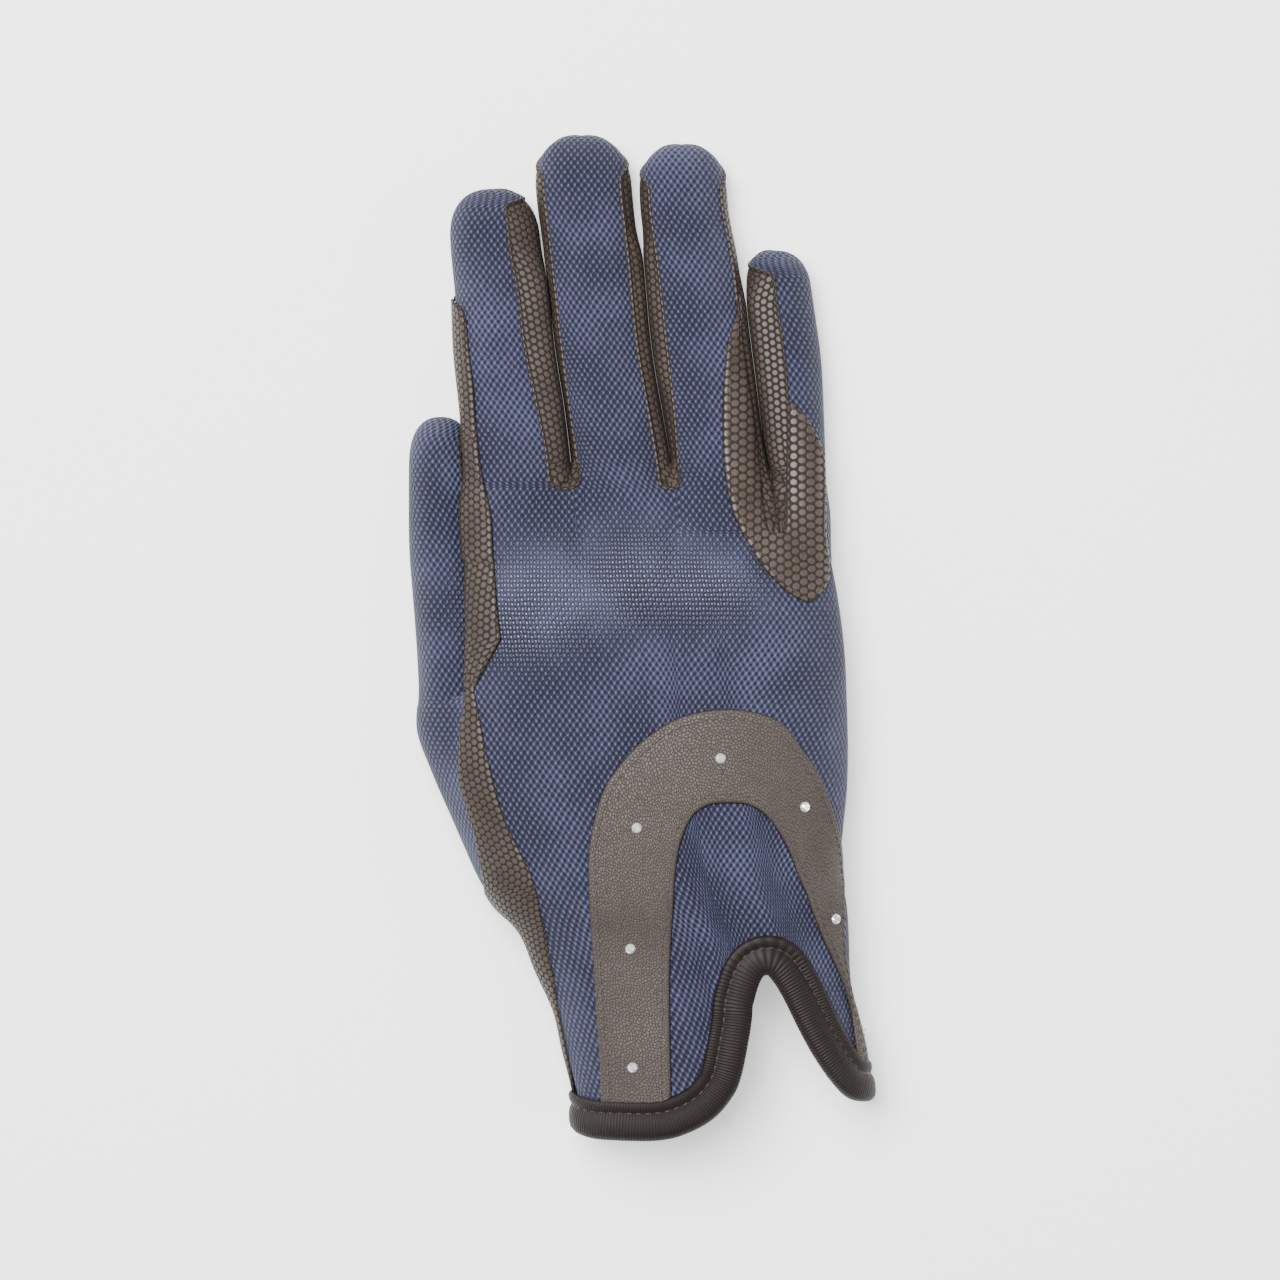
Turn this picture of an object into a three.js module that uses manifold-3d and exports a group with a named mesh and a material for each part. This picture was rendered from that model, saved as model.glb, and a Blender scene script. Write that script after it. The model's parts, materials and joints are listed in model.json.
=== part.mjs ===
// Horse riding glove for the right hand, filled as if worn and lying palm down, fingers towards +Y.
// Millimetres, +Z up. The origin is on the ground under the middle of the palm, on the palm's flat underside.

import * as THREE from "three";
import { mergeVertices } from "three/addons/utils/BufferGeometryUtils.js";
import Module from "manifold-3d";

const wasm = await Module();
wasm.setup();

// Driving dimensions
const GLOVE_LENGTH = 230;
const HAND_BREADTH = 84;
const HAND_THICKNESS = 30;
const WALL = 1.3;
const PATCH_WALL = 1.0;
const TAPE_WALL = 0.9;
const TAPE_WIDTH = 8;
const CRYSTAL_DIAMETER = 2.3;
const CRYSTAL_HEIGHT = 1.1;
const CRYSTAL_SEAT = 0.4;
const GAP = 0.3;
const LAYER_GAP = 0.45;

// Where the origin lies along the glove, as a share of its length from the cuff's corner
const ORIGIN_ALONG = 0.5;

// Roundness of the sections: 2 is an ellipse, more is squarer
const TOP_POWER = 2.3;
const SOLE_POWER = 2.0;
const TIP_POWER = 2.4;

// The sole would bulge this share of the thickness below the ground, and is flattened where it rests
const HAND_SOLE = 0.2;
const FINGER_SOLE = 0.09;

// A rounded tip's length, in half widths of its finger
const FINGER_TIP = 1.25;
const THUMB_TIP = 1.7;
const KNUCKLE_END = 0.05;

// Height of a finger's widest line, as a share of its top height
const FINGER_EDGE = 0.46;

// Facets: sides around a section and millimetres between rings. The hollow's are coarser than the outside's.
const FACETS = {
  hand: { sides: 22, hollowSides: 14, ringStep: 13, hollowStep: 18 },
  digit: { sides: 12, hollowSides: 8, ringStep: 18, hollowStep: 24 },
};
const TIP_RINGS = 4;
const HOLLOW_TIP_RINGS = 3;
const SEAM_STEPS = 7;
const OUTLINE_STEPS = 12;
const CUFF_STEPS = 20;

// Far enough for a cutter to pass the whole glove
const FAR = GLOVE_LENGTH;

const COLOURS = {
  mesh: { color: 0x3f4470, roughness: 0.85, metalness: 0 },
  grip: { color: 0x63554c, roughness: 0.6, metalness: 0 },
  smooth: { color: 0x6b605b, roughness: 0.5, metalness: 0 },
  tape: { color: 0x3c2b26, roughness: 0.8, metalness: 0 },
  crystal: { color: 0xe8edf5, roughness: 0.05, metalness: 0.1 },
};

// A table of sections: the first column is the place along the glove, and each other column becomes a
// smooth function of that place.
function table(columns, rows) {
  const names = columns.split(" ");
  const ordered = [...rows].sort((a, b) => a[0] - b[0]);
  const places = ordered.map((row) => row[0]);
  const curves = {};
  names.slice(1).forEach((name, index) => {
    const curve = new THREE.CubicInterpolant(places, ordered.map((row) => row[index + 1]), 1);
    curves[name] = (place) => curve.evaluate(place)[0];
  });
  curves.places = places;
  return curves;
}

// The hand from past the cuff to the webs. along is a share of the length from the cuff's corner, left and
// right of the breadth from the middle line, and top and lift of the thickness above the ground. edge is the
// height of the left side's widest line as a share of the top: high where the thumb tucks in under it.
const HAND = table("along left right top edge lift", [
  [-0.04, -0.18, 0.63, 0.90, 0.46, 0.09],
  [0.04, -0.19, 0.618, 0.91, 0.46, 0.09],
  [0.08, -0.217, 0.606, 0.92, 0.46, 0.09],
  [0.12, -0.242, 0.58, 0.92, 0.47, 0.09],
  [0.16, -0.291, 0.568, 0.94, 0.48, 0.09],
  [0.20, -0.338, 0.564, 0.96, 0.49, 0.08],
  [0.225, -0.395, 0.559, 0.98, 0.50, 0.07],
  [0.26, -0.438, 0.540, 0.99, 0.54, 0.04],
  [0.30, -0.460, 0.548, 1.00, 0.60, 0],
  [0.34, -0.490, 0.559, 1.00, 0.66, 0],
  [0.38, -0.496, 0.562, 0.99, 0.70, 0],
  [0.43, -0.482, 0.559, 0.97, 0.73, 0],
  [0.48, -0.474, 0.553, 0.95, 0.74, 0],
  [0.54, -0.474, 0.532, 0.93, 0.74, 0],
  [0.58, -0.474, 0.512, 0.88, 0.74, 0],
  [0.62, -0.474, 0.503, 0.80, 0.74, 0],
  [0.65, -0.474, 0.500, 0.74, 0.74, 0],
]);

// The fingers: centre and half are shares of the breadth, top of the thickness. left and right are where the
// mesh's seams run, in half widths from the finger's middle. The index's left side has its widest line at
// edge, a share of the top, because the thumb tucks in under it.
const FINGERS = {
  index: {
    tip: 0.944,
    sections: table("along centre half top left right edge", [
      [0.56, -0.320, 0.125, 0.78, -2, 0.66, 0.74],
      [0.62, -0.336, 0.138, 0.76, -2, 0.62, 0.74],
      [0.68, -0.345, 0.138, 0.70, -2, 0.58, 0.74],
      [0.72, -0.356, 0.136, 0.66, -2, 0.51, 0.68],
      [0.78, -0.378, 0.133, 0.60, -2, 0.43, 0.50],
      [0.84, -0.389, 0.130, 0.54, -2, 0.36, 0.46],
      [0.88, -0.404, 0.126, 0.49, -2, 0.33, 0.46],
      [0.95, -0.416, 0.122, 0.45, -2, 0.30, 0.46],
    ]),
  },
  middle: {
    tip: 0.998,
    sections: table("along centre half top left right", [
      [0.52, -0.020, 0.115, 0.84, -0.82, 0.76],
      [0.60, -0.036, 0.124, 0.78, -0.82, 0.76],
      [0.66, -0.055, 0.126, 0.72, -0.82, 0.76],
      [0.72, -0.082, 0.126, 0.67, -0.82, 0.76],
      [0.78, -0.110, 0.126, 0.62, -0.82, 0.76],
      [0.88, -0.142, 0.131, 0.53, -0.82, 0.76],
      [0.94, -0.162, 0.133, 0.48, -0.82, 0.76],
      [1.00, -0.170, 0.133, 0.44, -0.82, 0.76],
    ]),
  },
  ring: {
    tip: 0.989,
    sections: table("along centre half top left right", [
      [0.52, 0.238, 0.112, 0.82, -0.78, 0.85],
      [0.60, 0.226, 0.124, 0.77, -0.78, 0.85],
      [0.66, 0.208, 0.125, 0.71, -0.78, 0.85],
      [0.72, 0.187, 0.126, 0.66, -0.78, 0.85],
      [0.78, 0.163, 0.128, 0.61, -0.78, 0.85],
      [0.88, 0.134, 0.125, 0.52, -0.78, 0.85],
      [0.92, 0.116, 0.122, 0.48, -0.78, 0.85],
      [0.99, 0.107, 0.120, 0.43, -0.78, 0.85],
    ]),
  },
  little: {
    tip: 0.882,
    sections: table("along centre half top left right", [
      [0.53, 0.410, 0.080, 0.70, -0.18, 2],
      [0.60, 0.428, 0.080, 0.64, -0.18, 2],
      [0.66, 0.424, 0.080, 0.59, -0.18, 2],
      [0.72, 0.414, 0.085, 0.55, -0.18, 2],
      [0.78, 0.400, 0.090, 0.51, -0.18, 2],
      [0.82, 0.385, 0.090, 0.47, -0.18, 2],
      [0.88, 0.366, 0.086, 0.42, -0.18, 2],
    ]),
  },
};

// The thumb, from its tip down to where it runs into the heel of the hand. Above its crotch the hand has a
// trough that keeps clear of it.
const THUMB = {
  tip: 0.714,
  crotch: 0.44,
  sections: table("along centre half top", [
    [0.19, -0.240, 0.040, 0.40],
    [0.22, -0.285, 0.105, 0.52],
    [0.24, -0.311, 0.121, 0.58],
    [0.28, -0.355, 0.132, 0.64],
    [0.32, -0.395, 0.139, 0.66],
    [0.36, -0.438, 0.143, 0.66],
    [0.40, -0.493, 0.128, 0.64],
    [0.44, -0.518, 0.100, 0.63],
    [0.48, -0.530, 0.093, 0.62],
    [0.52, -0.538, 0.093, 0.61],
    [0.58, -0.552, 0.092, 0.59],
    [0.64, -0.556, 0.090, 0.56],
    [0.72, -0.558, 0.086, 0.50],
  ]),
};
const TROUGH_CLEARANCE = 0.9;

// Knuckles, hollows and folds of the filled hand: rise is a share of the thickness, and wide and long are the
// radii, as shares of the breadth and the length.
const RELIEF = [
  { along: 0.535, across: -0.31, rise: 0.045, wide: 0.10, long: 0.035 },
  { along: 0.545, across: -0.02, rise: 0.055, wide: 0.09, long: 0.035 },
  { along: 0.545, across: 0.20, rise: 0.035, wide: 0.09, long: 0.035 },
  { along: 0.600, across: -0.13, rise: -0.06, wide: 0.05, long: 0.04 },
  { along: 0.590, across: 0.10, rise: -0.05, wide: 0.05, long: 0.035 },
  { along: 0.440, across: -0.15, rise: -0.03, wide: 0.16, long: 0.05 },
  { along: 0.175, across: 0.12, rise: -0.03, wide: 0.40, long: 0.045 },
  { along: 0.780, across: -0.38, rise: -0.02, wide: 0.10, long: 0.012 },
  { along: 0.800, across: -0.12, rise: -0.02, wide: 0.10, long: 0.012 },
  { along: 0.790, across: 0.16, rise: -0.02, wide: 0.10, long: 0.012 },
];

// The seam that divides the back from the palm: height is a share of the thickness
const PALM_SEAM = table("along height", [
  [-0.10, 0.42],
  [0.20, 0.43],
  [0.40, 0.40],
  [0.55, 0.37],
  [0.65, 0.33],
  [0.80, 0.27],
  [0.95, 0.21],
  [1.10, 0.18],
]);
const THUMB_SEAM = table("along height", [
  [0.15, 0.30],
  [0.45, 0.28],
  [0.60, 0.26],
  [0.72, 0.20],
]);

// Inner edges of the two strips on the thumb side, as shares of the breadth from the middle line
const INDEX_STRIP = table("along inner", [
  [0.495, -0.385],
  [0.54, -0.397],
  [0.60, -0.408],
  [0.64, -0.427],
  [0.68, -0.444],
  [0.72, -0.457],
  [0.78, -0.474],
  [0.82, -0.490],
  [0.838, -0.529],
]);
const SIDE_STRIP = table("along inner", [
  [-0.05, -0.16],
  [0.06, -0.197],
  [0.12, -0.227],
  [0.18, -0.257],
  [0.24, -0.288],
  [0.28, -0.332],
  [0.32, -0.381],
  [0.36, -0.411],
  [0.40, -0.436],
  [0.44, -0.460],
]);
// The index strip's lower end runs from its corner down to this point and on past the side of the hand
const STRIP_CROSSING = { along: 0.441, across: -0.460 };

// The webs: where each fourchette's lower end lies, and how far its seam dips below the end of its straight run
const FOURCHETTES = [
  { between: ["index", "middle"], web: 0.661, dip: 0.033 },
  { between: ["middle", "ring"], web: 0.661, dip: 0.030 },
  { between: ["ring", "little"], web: 0.621, dip: 0.034 },
];
// The hand's front end follows the webs: straight from the thumb side, then back towards the little finger
const WEB_FRONT = { along: 0.644, bend: 0.10, far: 0.37, drop: 0.044, start: 0.56 };

// The rein patch, a leaf over the ring and little fingers
const REIN_PATCH = table("along left right", [
  [0.531, 0.445, 0.480],
  [0.541, 0.385, 0.510],
  [0.561, 0.330, 0.570],
  [0.591, 0.280, 0.590],
  [0.621, 0.245, 0.570],
  [0.661, 0.222, 0.510],
  [0.701, 0.217, 0.465],
  [0.727, 0.217, 0.400],
  [0.737, 0.217, 0.328],
  [0.771, 0.222, 0.318],
  [0.801, 0.242, 0.306],
  [0.828, 0.266, 0.288],
]);

// The horseshoe's outer and inner edges. On the right its arm runs over the side of the hand.
const HORSESHOE_OUTER = table("along left right", [
  [0.02, -0.110, 0.75],
  [0.08, -0.120, 0.72],
  [0.16, -0.137, 0.64],
  [0.20, -0.145, 0.565],
  [0.24, -0.153, 0.545],
  [0.28, -0.148, 0.540],
  [0.30, -0.140, 0.530],
  [0.32, -0.131, 0.515],
  [0.34, -0.104, 0.496],
  [0.36, -0.082, 0.474],
  [0.38, -0.027, 0.433],
  [0.40, 0.030, 0.381],
  [0.415, 0.115, 0.310],
  [0.423, 0.205, 0.235],
]);
const HORSESHOE_INNER = table("along left right", [
  [0.00, 0.074, 0.600],
  [0.08, 0.074, 0.581],
  [0.12, 0.071, 0.564],
  [0.16, 0.071, 0.531],
  [0.20, 0.079, 0.479],
  [0.24, 0.082, 0.441],
  [0.28, 0.085, 0.395],
  [0.30, 0.110, 0.362],
  [0.32, 0.181, 0.301],
  [0.329, 0.225, 0.255],
]);

// Crystals on the horseshoe: along and across are shares of the glove's length and of the hand's breadth
const CRYSTALS = [
  { along: 0.374, across: 0.208 },
  { along: 0.306, across: -0.017 },
  { along: 0.326, across: 0.432 },
  { along: 0.187, across: -0.033 },
  { along: 0.214, across: 0.514 },
  { along: 0.07, across: -0.025 },
  { along: 0.1, across: 0.6 },
];

// The cuff's edge seen from above, from past the left side to past the right side. The back has the notch, and
// the palm a wide arch that keeps clear of it.
const CUFF_BACK = [
  { across: -0.250, along: 0.030 },
  { across: -0.175, along: 0.011 },
  { across: -0.100, along: 0.001 },
  { across: -0.020, along: 0.000 },
  { across: 0.060, along: 0.001 },
  { across: 0.140, along: 0.010 },
  { across: 0.215, along: 0.035 },
  { across: 0.258, along: 0.070 },
  { across: 0.277, along: 0.110 },
  { across: 0.292, along: 0.142 },
  { across: 0.320, along: 0.165 },
  { across: 0.352, along: 0.160 },
  { across: 0.392, along: 0.140 },
  { across: 0.430, along: 0.115 },
  { across: 0.470, along: 0.083 },
  { across: 0.515, along: 0.056 },
  { across: 0.580, along: 0.034 },
  { across: 0.700, along: 0.010 },
];
const CUFF_PALM = [
  { across: -0.240, along: 0.030 },
  { across: -0.150, along: 0.022 },
  { across: -0.060, along: 0.048 },
  { across: 0.055, along: 0.110 },
  { across: 0.170, along: 0.175 },
  { across: 0.330, along: 0.208 },
  { across: 0.475, along: 0.175 },
  { across: 0.550, along: 0.110 },
  { across: 0.610, along: 0.060 },
  { across: 0.700, along: 0.030 },
];

const alongY = (share) => (share - ORIGIN_ALONG) * GLOVE_LENGTH;
const acrossX = (share) => share * HAND_BREADTH;
const heightZ = (share) => share * HAND_THICKNESS;
const yAlong = (y) => y / GLOVE_LENGTH + ORIGIN_ALONG;

// Turns a three.js geometry into a solid: only the positions are kept, and shared corners are merged
function solidOf(geometry) {
  const bare = new THREE.BufferGeometry();
  bare.setAttribute("position", geometry.getAttribute("position"));
  if (geometry.index) {
    bare.setIndex(geometry.index);
  }
  const merged = mergeVertices(bare, 1e-4);
  const vertProperties = new Float32Array(merged.getAttribute("position").array);
  const triVerts = new Uint32Array(merged.index.array);
  return new wasm.Manifold(new wasm.Mesh({ numProp: 3, vertProperties, triVerts }));
}

// The largest body of a cut, without the thin crumbs that a cut along a curved wall can leave
function largest(solid) {
  const bodies = solid.decompose();
  return bodies.reduce((best, body) => (body.volume() > best.volume() ? body : best));
}

function named(name, solid, look) {
  const result = largest(solid).getMesh();
  const geometry = new THREE.BufferGeometry();
  geometry.setAttribute("position", new THREE.BufferAttribute(new Float32Array(result.vertProperties), 3));
  geometry.setIndex(new THREE.BufferAttribute(new Uint32Array(result.triVerts), 1));
  const mesh = new THREE.Mesh(geometry, new THREE.MeshStandardMaterial(look));
  mesh.name = name;
  return mesh;
}

// Height added by the knuckles and hollows at a point of the back
function relief(x, y) {
  let rise = 0;
  for (const dent of RELIEF) {
    const across = (x - acrossX(dent.across)) / acrossX(dent.wide);
    const along = (y - alongY(dent.along)) / (GLOVE_LENGTH * dent.long);
    rise += heightZ(dent.rise) * Math.exp(-across * across - along * along);
  }
  return rise;
}

const power = (value, exponent) => Math.sign(value) * Math.abs(value) ** exponent;

// One point of a cross-section. angle runs from 0 at the right over the top; fullness shrinks a tip's rings,
// and offset moves the surface outwards. The underside is flattened at its lift above the ground.
function sectionPoint(shape, angle, offset) {
  const across = Math.cos(angle);
  const up = Math.sin(angle);
  const leftShare = (1 - across) / 2;
  const edge = THREE.MathUtils.lerp(shape.rightEdge, shape.leftEdge, leftShare);
  const half = (shape.half + offset) * shape.fullness;
  if (up >= 0) {
    const x = shape.centre + half * power(across, 2 / TOP_POWER);
    const swell = relief(x, shape.y) * up;
    const z = edge + (shape.top - edge + swell + offset) * shape.fullness * power(up, 2 / TOP_POWER);
    return { x, z };
  }
  const x = shape.centre + half * power(across, 2 / SOLE_POWER);
  const depth = (edge - shape.lift + shape.sole + offset) * shape.fullness * power(-up, 2 / SOLE_POWER);
  return { x, z: Math.max(edge - depth, shape.lift - offset) };
}

// A closed tube through rings of sections, with a flat or pointed cap at each end
function loft(shapes, sides, offset, bend) {
  const positions = [];
  const triangles = [];
  for (const shape of shapes) {
    for (let side = 0; side < sides; side += 1) {
      const point = sectionPoint(shape, (side / sides) * 2 * Math.PI, offset);
      positions.push(point.x, bend(point.x, shape.y), point.z);
    }
  }
  for (let ring = 0; ring + 1 < shapes.length; ring += 1) {
    for (let side = 0; side < sides; side += 1) {
      const next = (side + 1) % sides;
      const a = ring * sides + side;
      const b = ring * sides + next;
      triangles.push(a, b + sides, b, a, a + sides, b + sides);
    }
  }
  [0, shapes.length - 1].forEach((ring, end) => {
    const centre = positions.length / 3;
    const shape = shapes[ring];
    const height = (shape.leftEdge + shape.rightEdge) / 2;
    positions.push(shape.centre, bend(shape.centre, shape.y), height);
    for (let side = 0; side < sides; side += 1) {
      const a = ring * sides + side;
      const b = ring * sides + ((side + 1) % sides);
      triangles.push(...(end ? [b, a, centre] : [a, b, centre]));
    }
  });
  const geometry = new THREE.BufferGeometry();
  geometry.setAttribute("position", new THREE.Float32BufferAttribute(positions, 3));
  geometry.setIndex(triangles);
  return solidOf(geometry);
}

// Fullness of a rounded end: 1 at a tip length from the end, 0 at the end itself
function fullness(y, tipY, tipLength) {
  const near = THREE.MathUtils.clamp(1 - (tipY - y) / tipLength, 0, 1);
  return (1 - near ** TIP_POWER) ** (1 / TIP_POWER);
}

// Sides and places of the rings: about a step apart along the body, then closing up towards the rounded end
function facets(kind, startY, tipY, tipLength, offset) {
  const hollow = offset < 0;
  const sides = hollow ? kind.hollowSides : kind.sides;
  const ringStep = hollow ? kind.hollowStep : kind.ringStep;
  const tipRings = hollow ? HOLLOW_TIP_RINGS : TIP_RINGS;
  const places = [];
  const shoulder = tipY - tipLength;
  const bodyRings = Math.ceil((shoulder - startY) / ringStep);
  for (let ring = 0; ring < bodyRings; ring += 1) {
    places.push(THREE.MathUtils.lerp(startY, shoulder, ring / bodyRings));
  }
  for (let ring = 0; ring < tipRings; ring += 1) {
    const turn = (ring / tipRings) * (Math.PI / 2);
    places.push(shoulder + tipLength * Math.sin(turn) ** 1.2);
  }
  places.push(tipY - tipLength * 0.012);
  return { sides, places };
}

const straight = (x, y) => y;

function digit(sections, tip, tipShare, offset) {
  const tipY = alongY(tip) + offset;
  const tipLength = acrossX(sections.half(tip)) * tipShare + offset;
  const start = alongY(sections.places[0]) - offset;
  const { sides, places } = facets(FACETS.digit, start, tipY, tipLength, offset);
  const shapes = places.map((y) => {
    const along = Math.min(yAlong(y), tip);
    const top = heightZ(sections.top(along));
    return {
      y,
      centre: acrossX(sections.centre(along)),
      half: acrossX(sections.half(along)),
      top,
      leftEdge: top * (sections.edge ? sections.edge(along) : FINGER_EDGE),
      rightEdge: top * FINGER_EDGE,
      lift: 0,
      sole: heightZ(FINGER_SOLE),
      fullness: fullness(y, tipY, tipLength),
    };
  });
  return loft(shapes, sides, offset, straight);
}

function handShape(y, frontY, frontLength) {
  const along = yAlong(y);
  const left = acrossX(HAND.left(along));
  const right = acrossX(HAND.right(along));
  const top = heightZ(HAND.top(along));
  return {
    y,
    centre: (left + right) / 2,
    half: (right - left) / 2,
    top,
    leftEdge: top * HAND.edge(along),
    rightEdge: top * FINGER_EDGE,
    lift: Math.max(0, heightZ(HAND.lift(along))),
    sole: heightZ(HAND_SOLE),
    fullness: fullness(y, frontY, frontLength),
  };
}

// The hand's front rings bend back towards the little finger, where the web lies lower
function webBend(x, y) {
  const startY = alongY(WEB_FRONT.start);
  if (y <= startY) {
    return y;
  }
  const across = THREE.MathUtils.smoothstep(x, acrossX(WEB_FRONT.bend), acrossX(WEB_FRONT.far));
  const reach = alongY(WEB_FRONT.along) - startY;
  const drop = GLOVE_LENGTH * WEB_FRONT.drop * across;
  return startY + ((y - startY) * (reach - drop)) / reach;
}

function hand(offset) {
  const frontY = alongY(WEB_FRONT.along) + offset;
  const frontLength = GLOVE_LENGTH * KNUCKLE_END + offset;
  // The hollow runs out past the outer skin at the cuff, so that the cuff is open
  const start = alongY(HAND.places[0]) + offset * 4;
  const { sides, places } = facets(FACETS.hand, start, frontY, frontLength, offset);
  return loft(places.map((y) => handShape(y, frontY, frontLength)), sides, offset, webBend);
}

const thumb = (offset) => digit(THUMB.sections, THUMB.tip, THUMB_TIP, offset);

// The room beside the thumb, from its crotch to past its tip
function trough(offset) {
  const crotchY = alongY(THUMB.crotch) + offset;
  const ahead = zone([[-FAR, crotchY], [FAR, crotchY], [FAR, FAR], [-FAR, FAR]]);
  return thumb(TROUGH_CLEARANCE - offset).intersect(ahead);
}

// The filled glove's whole form, moved outwards by offset
function form(offset) {
  let body = hand(offset);
  for (const finger of Object.values(FINGERS)) {
    body = body.add(digit(finger.sections, finger.tip, FINGER_TIP, offset));
  }
  return body.subtract(trough(offset)).add(thumb(offset));
}

// A cutter that stands on a plan outline, from low to high
function zone(points, low = -FAR, high = FAR) {
  const outline = new THREE.Shape(points.map(([x, y]) => new THREE.Vector2(x, y)));
  const geometry = new THREE.ExtrudeGeometry(outline, { depth: high - low, bevelEnabled: false });
  geometry.translate(0, 0, low);
  return solidOf(geometry);
}

// Everything above a seam whose height changes along the glove, moved up by lift
function above(seam, lift) {
  const steps = SEAM_STEPS;
  const profile = [];
  for (let step = 0; step <= steps; step += 1) {
    const along = THREE.MathUtils.lerp(-0.1, 1.1, step / steps);
    profile.push(new THREE.Vector2(alongY(along), heightZ(seam.height(along)) + lift));
  }
  profile.push(new THREE.Vector2(alongY(1.1), FAR));
  profile.push(new THREE.Vector2(alongY(-0.1), FAR));
  const geometry = new THREE.ExtrudeGeometry(new THREE.Shape(profile), { depth: 2 * FAR, bevelEnabled: false });
  geometry.translate(0, 0, -FAR);
  const turn = new THREE.Matrix4().makeBasis(
    new THREE.Vector3(0, 1, 0),
    new THREE.Vector3(0, 0, 1),
    new THREE.Vector3(1, 0, 0),
  );
  geometry.applyMatrix4(turn);
  return solidOf(geometry);
}

// Points along one column of a table, from one place to another
function edgeLine(column, from, to, steps, shift) {
  const points = [];
  for (let step = 0; step <= steps; step += 1) {
    const along = THREE.MathUtils.lerp(from, to, step / steps);
    points.push([acrossX(column(along)) + shift, alongY(along)]);
  }
  return points;
}

// The index strip's plan, grown to the right and down by grow
function indexStripZone(grow) {
  const top = INDEX_STRIP.places.at(-1);
  const corner = INDEX_STRIP.places[0];
  const inner = edgeLine(INDEX_STRIP.inner, corner, top, SEAM_STEPS, grow);
  const [grownX, cornerY] = inner[0];
  const crossX = acrossX(STRIP_CROSSING.across);
  const crossY = alongY(STRIP_CROSSING.along);
  const slope = (cornerY - crossY) / (grownX - grow - crossX);
  const farX = acrossX(-0.6);
  const farY = cornerY + (farX - grownX) * slope;
  const peak = [acrossX(INDEX_STRIP.inner(top)), alongY(top) + grow];
  return zone([[farX, farY], ...inner, peak, [farX, peak[1]]]);
}

function sideStripZone(grow) {
  const inner = edgeLine(SIDE_STRIP.inner, SIDE_STRIP.places[0], SIDE_STRIP.places.at(-1), SEAM_STEPS, grow);
  const corner = [acrossX(INDEX_STRIP.inner(INDEX_STRIP.places[0])), alongY(INDEX_STRIP.places[0])];
  return zone([...inner, corner, [-FAR, corner[1]], [-FAR, inner[0][1]]]);
}

// Where a finger's seam runs, side being "left" or "right"
function seamX(finger, side, along) {
  const sections = finger.sections;
  const place = Math.min(along, finger.tip);
  return acrossX(sections.centre(place) + sections.half(place) * sections[side](place));
}

// The plan of a fourchette: up one finger's seam, across to the next finger's, and down to a rounded web
function fourchetteZone({ between, web, dip }, grow) {
  const [first, second] = between.map((name) => FINGERS[name]);
  const points = [];
  const steps = SEAM_STEPS;
  for (let step = 0; step <= steps; step += 1) {
    const along = THREE.MathUtils.lerp(web, first.tip + 0.02, step / steps);
    points.push([seamX(first, "right", along) - grow, alongY(along)]);
  }
  for (let step = 0; step <= steps; step += 1) {
    const along = THREE.MathUtils.lerp(second.tip + 0.02, web, step / steps);
    points.push([seamX(second, "left", along) + grow, alongY(along)]);
  }
  const right = points.at(-1)[0];
  const left = points[0][0];
  for (let step = 1; step < steps; step += 1) {
    const turn = (step / steps) * Math.PI;
    const x = (left + right) / 2 + ((right - left) / 2) * Math.cos(turn);
    points.push([x, alongY(web) - (GLOVE_LENGTH * dip + grow) * Math.sin(turn)]);
  }
  return zone(points.reverse());
}

// A closed plan from a table with a left and a right column
function leafZone(leaf, grow, low = -FAR) {
  const from = leaf.places[0];
  const to = leaf.places.at(-1);
  const right = edgeLine(leaf.right, from, to, OUTLINE_STEPS, grow);
  const left = edgeLine(leaf.left, to, from, OUTLINE_STEPS, -grow);
  return zone([...right, ...left], low);
}

// The plan on the glove's side of the cuff's edge, from a distance inside that edge to another or to the tips
function cuffZone(edge, from, to) {
  const controls = edge.map(({ across, along }) => new THREE.Vector2(acrossX(across), alongY(along)));
  const curve = new THREE.SplineCurve(controls);
  const line = (distance) => {
    const points = [];
    for (let step = 0; step <= CUFF_STEPS; step += 1) {
      const point = curve.getPoint(step / CUFF_STEPS);
      const tangent = curve.getTangent(step / CUFF_STEPS);
      points.push([point.x - tangent.y * distance, point.y + tangent.x * distance]);
    }
    return points;
  };
  const lower = line(from);
  const upper = to === undefined
    ? [[FAR, lower.at(-1)[1]], [FAR, FAR], [-FAR, FAR], [-FAR, lower[0][1]]]
    : line(to).reverse();
  return zone([...lower, ...upper]);
}

// A point on the back of the hand and the direction out of it.
// turn is the place around the section, from 0 at the right side's widest line over the top to 1 at the left's.
function handPoint(along, turn, offset) {
  const pointAt = (place, angle) => {
    const shape = { ...handShape(alongY(place), FAR, 1), fullness: 1 };
    const point = sectionPoint(shape, angle, offset);
    return new THREE.Vector3(point.x, shape.y, point.z);
  };
  const step = 0.01;
  const angle = turn * Math.PI;
  const point = pointAt(along, angle);
  const ahead = pointAt(along + step, angle).sub(point);
  const around = pointAt(along, angle + step).sub(point);
  return { point, outward: ahead.cross(around).normalize() };
}

// The turn of the section's point at a place across the glove, closed in on by halves
function turnAcross(along, across, offset) {
  let low = 0;
  let high = 1;
  while (high - low > 1e-6) {
    const middle = (low + high) / 2;
    if (handPoint(along, middle, offset).point.x > across * HAND_BREADTH) low = middle;
    else high = middle;
  }
  return low;
}

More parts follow.
